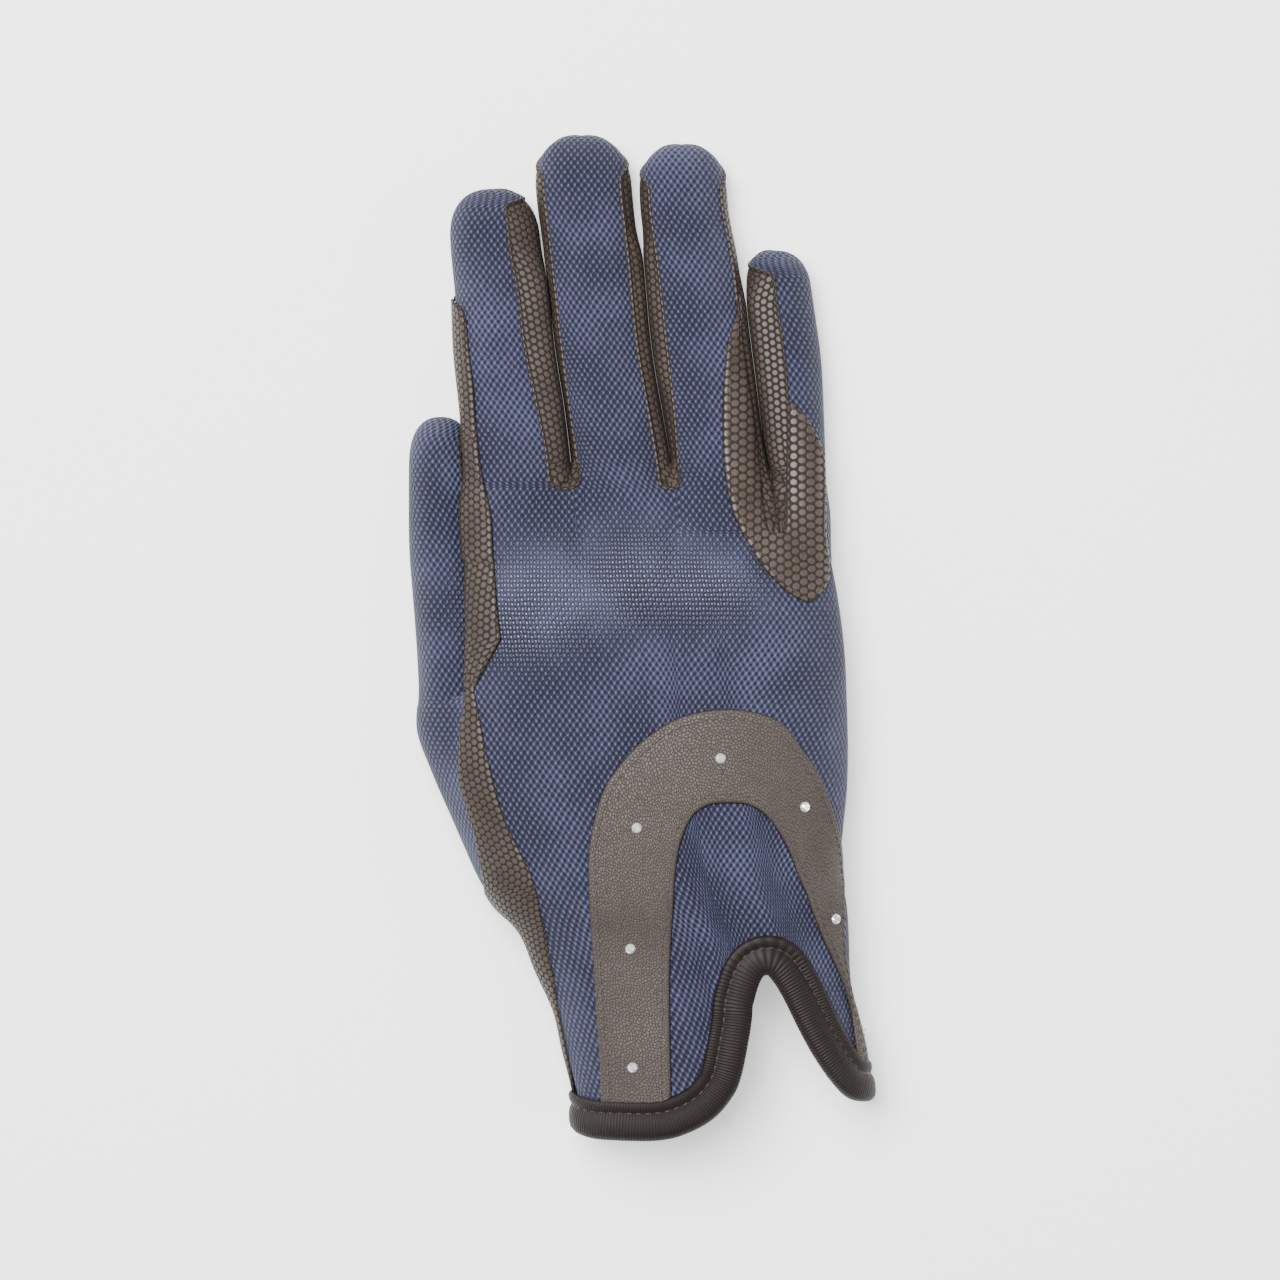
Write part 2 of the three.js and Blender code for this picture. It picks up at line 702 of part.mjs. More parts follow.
// A faceted stone with a flat back: eight sides, a girdle, a crown and a table
function crystal(name, { along, across }) {
  const radius = CRYSTAL_DIAMETER / 2;
  const profile = [
    new THREE.Vector2(0, 0),
    new THREE.Vector2(radius, 0),
    new THREE.Vector2(radius, CRYSTAL_HEIGHT * 0.3),
    new THREE.Vector2(radius * 0.55, CRYSTAL_HEIGHT),
    new THREE.Vector2(0, CRYSTAL_HEIGHT),
  ];
  const geometry = new THREE.LatheGeometry(profile, 8);
  const rise = LAYER_GAP + PATCH_WALL + CRYSTAL_SEAT;
  const { point, outward } = handPoint(along, turnAcross(along, across, rise), rise);
  const up = new THREE.Vector3(0, 1, 0);
  const turnToSurface = new THREE.Quaternion().setFromUnitVectors(up, outward);
  geometry.applyQuaternion(turnToSurface);
  geometry.translate(point.x, point.y, point.z);
  return named(name, solidOf(geometry), COLOURS.crystal);
}

// The shell of the glove and the cutters that divide it into panels
const shell = form(0).subtract(form(-WALL));
const upperHalf = above(PALM_SEAM, GAP / 2);
const upperAndSeam = above(PALM_SEAM, -GAP / 2);
const thumbUpper = above(THUMB_SEAM, GAP / 2);
const thumbUpperAndSeam = above(THUMB_SEAM, -GAP / 2);
const THUMB_CUT = 0.6;
const thumbZone = thumb(THUMB_CUT);
const thumbZoneGrown = thumb(THUMB_CUT + GAP);

const panelEdge = TAPE_WALL + GAP;
const backKept = cuffZone(CUFF_BACK, panelEdge);
const palmKept = cuffZone(CUFF_PALM, panelEdge);

const handUpper = shell.intersect(upperHalf).intersect(backKept).subtract(thumbZoneGrown);

function panels() {
  let back = handUpper.subtract(indexStripZone(GAP)).subtract(sideStripZone(GAP));
  const walls = FOURCHETTES.map((fourchette) => {
    back = back.subtract(fourchetteZone(fourchette, GAP));
    const wall = handUpper.intersect(fourchetteZone(fourchette, 0)).subtract(indexStripZone(GAP));
    return named(`fourchette_${fourchette.between.join("_")}`, wall, COLOURS.grip);
  });
  const indexStrip = handUpper.intersect(indexStripZone(0));
  const sideStrip = handUpper.intersect(sideStripZone(0)).subtract(indexStripZone(GAP));
  const palm = shell.subtract(upperAndSeam).intersect(palmKept).subtract(thumbZoneGrown);
  return [
    named("back_panel", back, COLOURS.mesh),
    named("index_strip", indexStrip, COLOURS.grip),
    named("side_strip", sideStrip, COLOURS.grip),
    named("palm_panel", palm, COLOURS.grip),
    ...walls,
  ];
}

function thumbPieces() {
  const wall = shell.intersect(thumbZone);
  return [
    named("thumb_back", wall.intersect(thumbUpper), COLOURS.mesh),
    named("thumb_front", wall.subtract(thumbUpperAndSeam), COLOURS.grip),
  ];
}

function appliedLeather() {
  const aboveSeam = above(PALM_SEAM, HAND_THICKNESS * 0.04);
  const layer = form(LAYER_GAP + PATCH_WALL).subtract(form(LAYER_GAP)).intersect(aboveSeam);
  const clearOfTape = cuffZone(CUFF_BACK, TAPE_WIDTH + GAP);
  const horseshoe = layer
    .intersect(leafZone(HORSESHOE_OUTER, 0))
    .subtract(leafZone(HORSESHOE_INNER, 0))
    .intersect(clearOfTape);
  return [
    named("rein_patch", layer.intersect(leafZone(REIN_PATCH, 0)), COLOURS.grip),
    named("horseshoe", horseshoe, COLOURS.smooth),
  ];
}

// Tape folded over the cuff's edge: a channel that holds the edge with a small gap on each side
function bindings() {
  const outer = form(GAP + TAPE_WALL).subtract(form(-WALL - GAP - TAPE_WALL));
  const slot = form(GAP).subtract(form(-WALL - GAP));
  const tape = (edge) => outer
    .intersect(cuffZone(edge, 0, TAPE_WIDTH))
    .subtract(slot.intersect(cuffZone(edge, TAPE_WALL)));
  return [
    named("cuff_binding_back", tape(CUFF_BACK).intersect(upperHalf), COLOURS.tape),
    named("cuff_binding_palm", tape(CUFF_PALM).subtract(upperAndSeam), COLOURS.tape),
  ];
}

const glove = new THREE.Group();
glove.name = "horse_riding_glove";
glove.add(...panels(), ...thumbPieces(), ...appliedLeather(), ...bindings());
CRYSTALS.forEach((place, index) => glove.add(crystal(`crystal_${index + 1}`, place)));

export default glove;
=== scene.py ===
# %% [markdown]
# # A horse riding glove
# A summer riding glove for the right hand, filled as if it were worn and lying palm down. Its back is a
# stretchy navy mesh. Its palm and the walls between the fingers are leather pressed with a honeycomb, and a
# horseshoe of smooth leather with small crystals is stitched on the back. Ribbed elastic tape binds the cuff.
# The CAD model gives the frame: every piece below is worked out in millimetres in that frame.

import json
import math

import bmesh
import bpy
import numpy as np
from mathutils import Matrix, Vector

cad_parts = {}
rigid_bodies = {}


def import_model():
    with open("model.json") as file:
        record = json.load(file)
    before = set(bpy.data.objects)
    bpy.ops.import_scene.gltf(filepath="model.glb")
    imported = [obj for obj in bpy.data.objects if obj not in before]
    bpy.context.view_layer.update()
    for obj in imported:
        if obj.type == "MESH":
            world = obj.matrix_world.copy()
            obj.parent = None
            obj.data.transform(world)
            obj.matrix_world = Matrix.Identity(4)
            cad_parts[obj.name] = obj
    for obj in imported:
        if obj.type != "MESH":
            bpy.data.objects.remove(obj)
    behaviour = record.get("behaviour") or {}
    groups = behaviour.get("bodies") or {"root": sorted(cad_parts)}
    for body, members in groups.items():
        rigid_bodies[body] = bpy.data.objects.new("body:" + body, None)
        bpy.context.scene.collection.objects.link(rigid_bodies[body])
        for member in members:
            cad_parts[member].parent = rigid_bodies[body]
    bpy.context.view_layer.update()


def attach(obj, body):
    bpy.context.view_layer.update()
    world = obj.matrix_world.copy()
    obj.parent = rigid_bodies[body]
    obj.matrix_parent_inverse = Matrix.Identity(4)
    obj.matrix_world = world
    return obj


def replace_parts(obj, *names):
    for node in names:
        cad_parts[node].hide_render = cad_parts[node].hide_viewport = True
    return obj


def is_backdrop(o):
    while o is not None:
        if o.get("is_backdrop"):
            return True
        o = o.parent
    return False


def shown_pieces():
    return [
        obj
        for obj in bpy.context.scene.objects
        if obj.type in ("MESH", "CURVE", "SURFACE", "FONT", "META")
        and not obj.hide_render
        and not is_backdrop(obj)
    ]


for old in list(bpy.data.objects):
    bpy.data.objects.remove(old)
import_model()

# %% [markdown]
# ## The filled form
# A filled glove has no flat places, so its form is a field: a number that is negative inside and positive
# outside. The hand, each finger and the thumb are tubes whose sections change along the glove. The field
# joins them with a smooth minimum, which fills the corners between two tubes as stretched cloth does. Every
# panel is laid on the place where the field is zero, so neighbours always meet on the same surface.

# %% Sizes and section tables
MM = 0.001
LENGTH, BREADTH, THICK = 230.0, 84.0, 30.0
TOP_POWER = 2.3
TIP_POWER = 2.4
FINGER_EDGE = 0.46
FINGER_SOLE, HAND_SOLE = 2.7, 6.0
HAND_FRONT, HAND_ROUND = 0.672, 14.0
FINGER_ROUND, THUMB_ROUND = 1.15, 1.5
WEB_REACH, THUMB_REACH, THUMB_GAP = 0.7, 1.2, 0.9
OUTSIDE = 30.0


def along_y(share):
    """Millimetres along Y from a share of the length: the share less a half, times the length."""
    return (np.asarray(share, float) - 0.5) * LENGTH


def smooth(value, low, high):
    """Smoothstep: 0 below low, 1 above high, and 3t squared less 2t cubed between."""
    t = np.clip((np.asarray(value, float) - low) / (high - low), 0, 1)
    return t * t * (3 - 2 * t)


def mix(a, b, t):
    """The value a share t of the way from a to b."""
    return a + (b - a) * t


def hermite(place, values):
    """Cubic curves through columns of values at rising places, with the slopes of the neighbouring rows."""
    slopes = np.gradient(values, place, axis=0)

    def at(y):
        y = np.clip(np.asarray(y, float), place[0], place[-1])
        k = np.clip(np.searchsorted(place, y) - 1, 0, len(place) - 2)
        h = place[k + 1] - place[k]
        t = (y - place[k]) / h
        t2, t3 = t * t, t * t * t
        return [
            (2 * t3 - 3 * t2 + 1) * values[k, c] + (t3 - 2 * t2 + t) * h * slopes[k, c]
            + (3 * t2 - 2 * t3) * values[k + 1, c] + (t3 - t2) * h * slopes[k + 1, c]
            for c in range(values.shape[1])
        ]

    return at


def curve(rows, scales):
    """Curves through a table: first the share of the length, then columns that each have their scale."""
    data = np.array(sorted(rows), float)
    return hermite(along_y(data[:, 0]), data[:, 1:] * np.array(scales, float))


# Hand: along, left, right, top, height of the left side's widest line, lift of the sole
HAND = curve([
    (-0.04, -0.18, 0.63, 0.90, 0.46, 0.09), (0.04, -0.19, 0.618, 0.91, 0.46, 0.09),
    (0.08, -0.217, 0.606, 0.92, 0.46, 0.09), (0.12, -0.242, 0.58, 0.92, 0.47, 0.09),
    (0.16, -0.291, 0.568, 0.94, 0.48, 0.09), (0.20, -0.338, 0.564, 0.96, 0.49, 0.08),
    (0.225, -0.395, 0.559, 0.98, 0.50, 0.07), (0.26, -0.438, 0.540, 0.99, 0.54, 0.04),
    (0.30, -0.460, 0.548, 1.00, 0.60, 0), (0.34, -0.490, 0.559, 1.00, 0.66, 0),
    (0.38, -0.496, 0.562, 0.99, 0.70, 0), (0.43, -0.482, 0.559, 0.97, 0.73, 0),
    (0.48, -0.474, 0.553, 0.94, 0.74, 0), (0.54, -0.474, 0.532, 0.90, 0.74, 0),
    (0.58, -0.474, 0.512, 0.83, 0.74, 0), (0.62, -0.474, 0.503, 0.73, 0.74, 0),
    (0.66, -0.474, 0.500, 0.62, 0.74, 0),
], (BREADTH, BREADTH, THICK, 1, THICK))

# Fingers: along, centre, half width, top, height of the left side's widest line, and the left and right seams
# in half widths. A seam past 1 is a side with no seam on the back.
FINGER_ROWS = {
    "index": [
        (0.53, -0.314, 0.118, 0.80, 0.74, -2, 0.66), (0.62, -0.336, 0.138, 0.76, 0.74, -2, 0.62),
        (0.68, -0.345, 0.138, 0.70, 0.74, -2, 0.58), (0.72, -0.356, 0.136, 0.66, 0.66, -2, 0.51),
        (0.78, -0.378, 0.133, 0.60, 0.50, -2, 0.43), (0.84, -0.389, 0.130, 0.54, 0.46, -2, 0.36),
        (0.88, -0.404, 0.126, 0.49, 0.46, -2, 0.33), (0.95, -0.416, 0.122, 0.45, 0.46, -2, 0.30),
    ],
    "middle": [
        (0.52, -0.020, 0.115, 0.84, 0.46, -0.95, 0.76), (0.60, -0.036, 0.124, 0.78, 0.46, -0.95, 0.76),
        (0.66, -0.055, 0.126, 0.72, 0.46, -0.95, 0.76), (0.72, -0.082, 0.126, 0.67, 0.46, -0.93, 0.76),
        (0.78, -0.110, 0.126, 0.62, 0.46, -0.88, 0.76), (0.88, -0.142, 0.131, 0.53, 0.46, -0.84, 0.76),
        (0.94, -0.162, 0.133, 0.48, 0.46, -0.82, 0.76), (1.00, -0.170, 0.133, 0.44, 0.46, -0.82, 0.76),
    ],
    "ring": [
        (0.52, 0.238, 0.112, 0.82, 0.46, -0.78, 0.85), (0.60, 0.226, 0.124, 0.77, 0.46, -0.90, 0.85),
        (0.66, 0.208, 0.125, 0.71, 0.46, -0.87, 0.85), (0.72, 0.187, 0.126, 0.66, 0.46, -0.80, 0.85),
        (0.78, 0.163, 0.128, 0.61, 0.46, -0.75, 0.85), (0.88, 0.134, 0.125, 0.52, 0.46, -0.78, 0.85),
        (0.92, 0.116, 0.122, 0.48, 0.46, -0.78, 0.85), (0.99, 0.107, 0.120, 0.43, 0.46, -0.78, 0.85),
    ],
    "little": [
        (0.53, 0.410, 0.080, 0.70, 0.46, -0.50, 2), (0.60, 0.428, 0.080, 0.64, 0.46, -0.50, 2),
        (0.66, 0.424, 0.080, 0.59, 0.46, -0.36, 2), (0.72, 0.414, 0.085, 0.55, 0.46, -0.22, 2),
        (0.78, 0.400, 0.090, 0.51, 0.46, -0.18, 2), (0.82, 0.385, 0.090, 0.47, 0.46, -0.18, 2),
        (0.88, 0.366, 0.086, 0.42, 0.46, -0.18, 2),
    ],
}
FINGERS = {name: curve(rows, (BREADTH, BREADTH, THICK, 1, 1, 1)) for name, rows in FINGER_ROWS.items()}
TIPS = {"index": 0.946, "middle": 1.000, "ring": 0.991, "little": 0.884}
NAMES = list(FINGERS)

# Thumb: along, centre, half width, top
THUMB = curve([
    (0.19, -0.240, 0.040, 0.40), (0.22, -0.285, 0.105, 0.52), (0.24, -0.311, 0.121, 0.58),
    (0.28, -0.355, 0.132, 0.64), (0.32, -0.395, 0.139, 0.66), (0.36, -0.438, 0.143, 0.66),
    (0.40, -0.493, 0.128, 0.64), (0.44, -0.518, 0.100, 0.63), (0.48, -0.530, 0.093, 0.62),
    (0.52, -0.538, 0.093, 0.61), (0.58, -0.552, 0.092, 0.59), (0.64, -0.556, 0.090, 0.56),
    (0.72, -0.558, 0.086, 0.50),
], (BREADTH, BREADTH, THICK))
THUMB_TIP, THUMB_CROTCH = 0.716, 0.44

# Seams between back and palm: along, height
PALM_SEAM = curve([(-0.10, 0.42), (0.20, 0.43), (0.40, 0.40), (0.55, 0.37), (0.65, 0.33), (0.80, 0.27),
                   (0.95, 0.21), (1.10, 0.18)], (THICK,))

# Knuckles, hollows and folds: along, across, rise, reach across, reach along, all as shares
RELIEF = [
    (0.535, -0.31, 0.050, 0.10, 0.035), (0.545, -0.02, 0.060, 0.09, 0.035), (0.545, 0.20, 0.035, 0.09, 0.035),
    (0.585, -0.155, -0.075, 0.045, 0.045), (0.580, 0.095, -0.060, 0.045, 0.040),
    (0.440, -0.15, -0.03, 0.16, 0.05), (0.175, 0.12, -0.03, 0.40, 0.045), (0.780, -0.38, -0.02, 0.10, 0.012),
    (0.800, -0.12, -0.02, 0.10, 0.012), (0.790, 0.16, -0.02, 0.10, 0.012),
]
print(len(NAMES), "fingers,", len(RELIEF), "dents and bumps")

# %% The field


def fullness(y, tip, reach):
    """Share of its size that a section keeps near a rounded end: 1 less the nearness to the power p, to 1/p."""
    near = np.clip(1 - (tip - y) / reach, 0, 1)
    return np.maximum(1 - near**TIP_POWER, 0) ** (1 / TIP_POWER)


def relief(x, y):
    """Height in mm added to the back: a sum of Gaussian bumps and dents."""
    total = np.zeros(np.broadcast(x, y).shape)
    for along, across, rise, wide, long in RELIEF:
        beside = (x - across * BREADTH) / (wide * BREADTH)
        ahead = (y - along_y(along)) / (long * LENGTH)
        total += rise * THICK * np.exp(-(beside**2 + ahead**2))
    return total


def tube(x, z, y, centre, half, top, left_edge, right_edge, lift, sole, full):
    """Signed distance, roughly, to a tube's section. Above the widest line it is a superellipse, below it an
    ellipse that is cut flat at its lift. Sections shrink by full towards a rounded tip."""
    u = (x - centre) / half
    edge = right_edge + (left_edge - right_edge) * np.clip((1 - u) / 2, 0, 1)
    rise = np.maximum(top + relief(x, y) - edge, 2.0)
    up = np.maximum(z - edge, 0) / rise
    down = np.maximum(edge - z, 0) / (edge - lift + sole)
    above = (np.abs(u) ** TOP_POWER + up**TOP_POWER) ** (1 / TOP_POWER)
    below = np.sqrt(u * u + down * down)
    round_part = (np.where(z >= edge, above, below) / np.maximum(full, 1e-3) - 1) * np.minimum(half, rise)
    return np.maximum(round_part, (lift + (1 - full) * 4) - z)


def hand_field(x, y, z):
    """The hand's tube, up to its front end."""
    left, right, top, edge, lift = HAND(y)
    centre, half = (left + right) / 2, (right - left) / 2
    front = along_y(HAND_FRONT)
    full = fullness(y, front, HAND_ROUND)
    lift = np.maximum(lift, 0)
    value = tube(x, z, y, centre, half, top, top * edge, top * FINGER_EDGE, lift, HAND_SOLE, full)
    return np.where(y > front, OUTSIDE, value)


def digit_field(x, y, z, centre, half, top, left_edge, tip, reach, start, end):
    """A finger's or the thumb's tube. It fades in from start to end and closes at its tip."""
    full = fullness(y, tip, half * reach)
    value = tube(x, z, y, centre, half, top, top * left_edge, top * FINGER_EDGE, 0.0, FINGER_SOLE, full)
    return np.where(y >= tip, OUTSIDE, value + OUTSIDE * (1 - smooth(y, start, end)))


def finger_field(name, x, y, z):
    centre, half, top, edge = FINGERS[name](y)[:4]
    start = along_y(FINGER_ROWS[name][0][0])
    return digit_field(x, y, z, centre, half, top, edge, along_y(TIPS[name]), FINGER_ROUND, start, start + 10)


def thumb_field(x, y, z):
    sizes = THUMB(y)
    limits = (along_y(THUMB_TIP), THUMB_ROUND, along_y(0.185), along_y(0.215))
    return digit_field(x, y, z, *sizes, FINGER_EDGE, *limits)


def softmin(fields, reach):
    """Smooth minimum: minus the reach times the logarithm of the sum of exp of minus each field over it."""
    stack = np.stack(np.broadcast_arrays(*fields))
    least = stack.min(0)
    return least - reach * np.log(np.exp(-(stack - least) / reach).sum(0))


def palm_and_fingers(x, y, z, only=None):
    """The hand joined with its fingers. The neighbours of an only finger fade out past the slit's end."""
    parts = [hand_field(x, y, z)]
    for name in NAMES:
        value = finger_field(name, x, y, z)
        if only not in (None, name):
            end = max([s["end"][1] for s in SLITS if set(s["between"]) == {name, only}], default=0.0)
            value = value + 40 * smooth(y, end - 1, end + 3)
        parts.append(value)
    return softmin(parts, WEB_REACH)


def past_crotch(y):
    """0 below the thumb's crotch and 1 above it."""
    return smooth(y, along_y(THUMB_CROTCH) - 4, along_y(THUMB_CROTCH) + 8)


def body_field(x, y, z):
    """The whole glove. Below its crotch the thumb joins the hand, and above it the hand keeps clear of it."""
    thumb = thumb_field(x, y, z)
    apart = past_crotch(y)
    joined = softmin([palm_and_fingers(x, y, z), thumb + apart * 12], THUMB_REACH)
    return np.where(apart > 0.5, np.maximum(joined, THUMB_GAP - thumb), joined)


def one_finger(name):
    """The field of one finger with the hand and, below each slit's end, with its neighbours."""
    def field(x, y, z):
        body = palm_and_fingers(x, y, z, name)
        clear = np.maximum(body, THUMB_GAP - thumb_field(x, y, z))
        return np.where(y > along_y(THUMB_CROTCH) + 2, clear, body)
    return field


def palm_field(x, y, z):
    """The hand and the fingers without the thumb, kept clear of the thumb above its crotch."""
    clear = THUMB_GAP - thumb_field(x, y, z) - 20 * (1 - past_crotch(y))
    return np.maximum(palm_and_fingers(x, y, z), clear)


def hit(field, origin, direction, far, near=0.0, steps=40):
    """Outermost point of a field's surface along rays: steps inwards from far until the field is negative,
    then halves the last step twelve times. origin and direction are tuples of x, y and z arrays."""
    ox, oy, oz = origin
    dx, dy, dz = direction
    shape = np.broadcast(ox, oy, oz, dx, dy, dz).shape
    outside, found = np.full(shape, float(far)), np.zeros(shape, bool)
    inside = np.full(shape, float(near))
    for step in range(1, steps + 1):
        r = far + (near - far) * step / steps
        value = field(ox + dx * r, oy + dy * r, oz + dz * r)
        fresh = (value < 0) & ~found
        inside = np.where(fresh, r, inside)
        outside = np.where(fresh, far + (near - far) * (step - 1) / steps, outside)
        found |= fresh
    for _ in range(12):
        middle = (inside + outside) / 2
        negative = field(ox + dx * middle, oy + dy * middle, oz + dz * middle) < 0
        inside = np.where(negative, middle, inside)
        outside = np.where(negative, outside, middle)
    r = (inside + outside) / 2
    return np.stack(np.broadcast_arrays(ox + dx * r, oy + dy * r, oz + dz * r), -1)


def rays(field, x, y, z, angles, far, steps=40):
    """Surface points along rays that leave the middle line x, z square to Y, in these directions."""
    return hit(field, (x, y, z), (np.cos(angles), np.zeros(angles.shape), np.sin(angles)), far, steps=steps)


def from_above(x, y):
    """The top of the body at a plan point: a ray straight down."""
    zero = np.zeros(np.broadcast(x, y).shape)
    return hit(body_field, (x + zero, y + zero, zero), (zero, zero, zero + 1.0), 36.0)


def from_below(x, y):
    """The underside of the body at a plan point: a ray straight up from the ground's side."""
    zero = np.zeros(np.broadcast(x, y).shape)
    return hit(body_field, (x + zero, y + zero, zero + 14.0), (zero, zero, zero - 1.0), 16.0, near=-10.0)


def differences(points, step):
    """How much the body's field rises over two steps along x, y and z."""
    x, y, z = points[..., 0], points[..., 1], points[..., 2]
    return np.stack([
        body_field(x + step, y, z) - body_field(x - step, y, z),
        body_field(x, y + step, z) - body_field(x, y - step, z),
        body_field(x, y, z + step) - body_field(x, y, z - step),
    ], -1)


def unit(vectors):
    """The same directions with a length of 1."""
    return vectors / np.maximum(np.linalg.norm(vectors, axis=-1, keepdims=True), 1e-9)


def outward(points):
    """Unit normals of the body's surface at points."""
    return unit(differences(points, 0.15))


def settle(points):
    """Moves points to the surface: twice back along the slope, by the value over the slope's square."""
    step = 0.1
    for _ in range(2):
        slope = differences(points, step) / (2 * step)
        size = np.maximum((slope * slope).sum(-1, keepdims=True), 0.2)
        value = body_field(points[..., 0], points[..., 1], points[..., 2])
        points = points - np.clip(value[..., None] * slope / size, -1.5, 1.5)
    return points


# %% [markdown]
# ## Tools for sheets
# A panel is a grid of points. These helpers turn such a grid into a mesh with its pattern coordinates, which
# are real millimetres measured along the surface, so that a weave keeps its scale where the panel bends.

# %% Grids into meshes
LOWEST = 0.03
WELD = 0.0005


def run_lengths(points, axis=0):
    """Distance travelled along an axis of a grid: the running sum of the steps between neighbours."""
    strides = np.linalg.norm(np.diff(points, axis=axis), axis=-1)
    pad = [(0, 0)] * strides.ndim
    pad[axis] = (1, 0)
    return np.pad(np.cumsum(strides, axis=axis), pad)


def cloth_map(points, start=0.0):
    """Pattern coordinates of a grid in mm: along each row from its middle, and along the middle column."""
    column = points.shape[1] // 2
    across = run_lengths(points, 1)
    across = across - across[:, column:column + 1]
    along = run_lengths(points, 0)[:, column:column + 1] + start
    return np.stack(np.broadcast_arrays(across, along), -1)


def grid_faces(rows, columns, first=0, around=False):
    """Quads of a grid, numbered from first. around closes each row on itself."""
    ids = np.arange(rows * columns).reshape(rows, columns) + first
    right = np.roll(ids, -1, 1) if around else ids[:, 1:]
    left = ids if around else ids[:, :-1]
    return np.stack([left[:-1], right[:-1], right[1:], left[1:]], -1).reshape(-1, 4)


def put(name, data):
    """A new object with this data, in the scene."""
    made = bpy.data.objects.new(name, data)
    bpy.context.scene.collection.objects.link(made)
    return made


def make(name, grids, finish, maps=None, around=False, flip=False, weld=False, stretch=None):
    """A piece from grids of millimetre points, with pattern coordinates and, for the mesh, its stretch."""
    maps = maps or [cloth_map(grid) for grid in grids]
    faces, first = [], 0
    for grid in grids:
        faces.append(grid_faces(*grid.shape[:2], first, around))
        first += grid.shape[0] * grid.shape[1]
    points = np.concatenate([grid.reshape(-1, 3) for grid in grids])
    points[:, 2] = np.maximum(points[:, 2], LOWEST)
    faces = np.concatenate(faces)
    mesh = bpy.data.meshes.new(name)
    mesh.from_pydata(points * MM, [], (faces[:, ::-1] if flip else faces).tolist())
    corners = np.empty(len(mesh.loops), np.int32)
    mesh.loops.foreach_get("vertex_index", corners)
    chart = np.concatenate([part.reshape(-1, 2) for part in maps])[corners]
    mesh.uv_layers.new(name="weave").data.foreach_set("uv", chart.astype(np.float32).ravel())
    if stretch is not None:
        values = np.concatenate([part.reshape(-1) for part in stretch]).astype(np.float32)
        mesh.attributes.new("stretch", "FLOAT", "POINT").data.foreach_set("value", values)
    if weld:
        work = bmesh.new()
        work.from_mesh(mesh)
        bmesh.ops.remove_doubles(work, verts=work.verts, dist=WELD * MM)
        work.to_mesh(mesh)
        work.free()
    mesh.shade_smooth()
    mesh.materials.append(finish)
    piece = put(name, mesh)
    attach(piece, "root")
    return piece


def wall(piece, thickness):
    """Gives a sheet its real thickness, inwards."""
    solid = piece.modifiers.new("wall", "SOLIDIFY")
    solid.thickness = thickness * MM
    solid.offset = -1.0
    solid.use_even_offset = False
    return piece


# %% [markdown]
# ## Where the seams run
# The outlines below were measured on the photograph, at 0.23 mm to the pixel, and are turned into millimetres
# of the plan: x to the little finger's side, y to the fingertips.

# %% Seams
SCALE = 0.23


def plan(px, py):
    """Plan millimetres of a place in the photograph: straight proportions from its middle."""
    return (px - 643) * SCALE, (631 - py) * SCALE


def by_y(pairs):
    """An outline's x as a smooth function of y, from places in the photograph."""
    rows = np.array(sorted(plan(px, py)[::-1] for px, py in pairs))
    through = hermite(rows[:, 0], rows[:, 1:])
    return lambda y: through(y)[0]


index_inner = by_y([
    (452, 293), (464, 310), (468, 330), (470, 350), (475, 390), (478, 430), (483, 470), (487, 490),
    (492, 510), (495, 550), (498, 590), (501, 622), (503, 637), (503, 660),
])
strip_inner = by_y([
    (476, 660), (476, 690), (480, 710), (484, 730), (488, 750), (493, 770), (498, 790), (504, 810),
    (512, 830), (522, 850), (532, 870), (538, 890), (542, 910), (547, 930), (550, 950), (554, 970),
    (557, 990), (560, 1010), (564, 1030), (568, 1050), (571, 1070), (574, 1090), (577, 1110), (580, 1130),
])
strip_outer = by_y([
    (470, 660), (468, 690), (465, 710), (462, 730), (461, 750), (460, 770), (463, 790), (469, 810),
    (475, 830), (479, 850), (483, 870), (486, 893),
])

# Slits: the place of each one's closed end, half its width there, and y where the fingers meet
SLITS = [
    {"between": ("index", "middle"), "end": plan(573, 489), "round": 2.4, "meet": plan(0, 249)[1]},
    {"between": ("middle", "ring"), "end": plan(675, 489), "round": 2.0, "meet": plan(0, 233)[1]},
    {"between": ("ring", "little"), "end": plan(781, 535), "round": 2.4, "meet": plan(0, 280)[1]},
]
JOIN_Y = 19.0
LAST_ROW = 0.004
# Where a seam turns down over a fingertip: its start and end, in mm from the tip
TIP_SEAM = {"index": (5.0, 0.8), "middle": (11.0, 3.0), "ring": (11.0, 3.0), "little": (7.0, 1.5)}
COLUMNS = {"index": 45, "middle": 45, "ring": 45, "little": 41}


def slit_beside(name, side):
    """The slit on a finger's right (side 1) or left (side -1), if there is one."""
    return next((slit for slit in SLITS if slit["between"][0 if side > 0 else 1] == name), None)


def from_down(angle):
    """The same direction, counted from straight down."""
    return np.where(angle < -np.pi / 2, angle + 2 * np.pi, angle)


def axis(name, y):
    """Middle line of a finger: x and z, from its section table."""
    centre, _, top, _ = FINGERS[name](y)[:4]
    return centre, top * FINGER_EDGE


def turn_to(name, x, y):
    """Direction from a finger's middle line to the top surface at a plan place."""
    point = from_above(x, y)
    cx, cz = axis(name, y)
    return np.arctan2(point[..., 2] - cz, point[..., 0] - cx)


def between(slit, y):
    """x half way across the gap between a slit's two fingers."""
    left, right = (FINGERS[name](y) for name in slit["between"])
    return (left[0] + left[1] + right[0] - right[1]) / 2


def mid_gap(slit, y):
    """x of the line half way between two fingers, shifted so that it passes through the slit's end."""
    end_x, end_y = slit["end"]
    return between(slit, y) + (end_x - between(slit, end_y)) * (1 - smooth(y, end_y, end_y + 25))


def tip_rows(tip, reach, count):
    """Places that close up towards a rounded tip, by a sine."""
    return tip - reach + reach * np.sin(np.linspace(0, np.pi / 2, count))[1:-1] ** 1.1


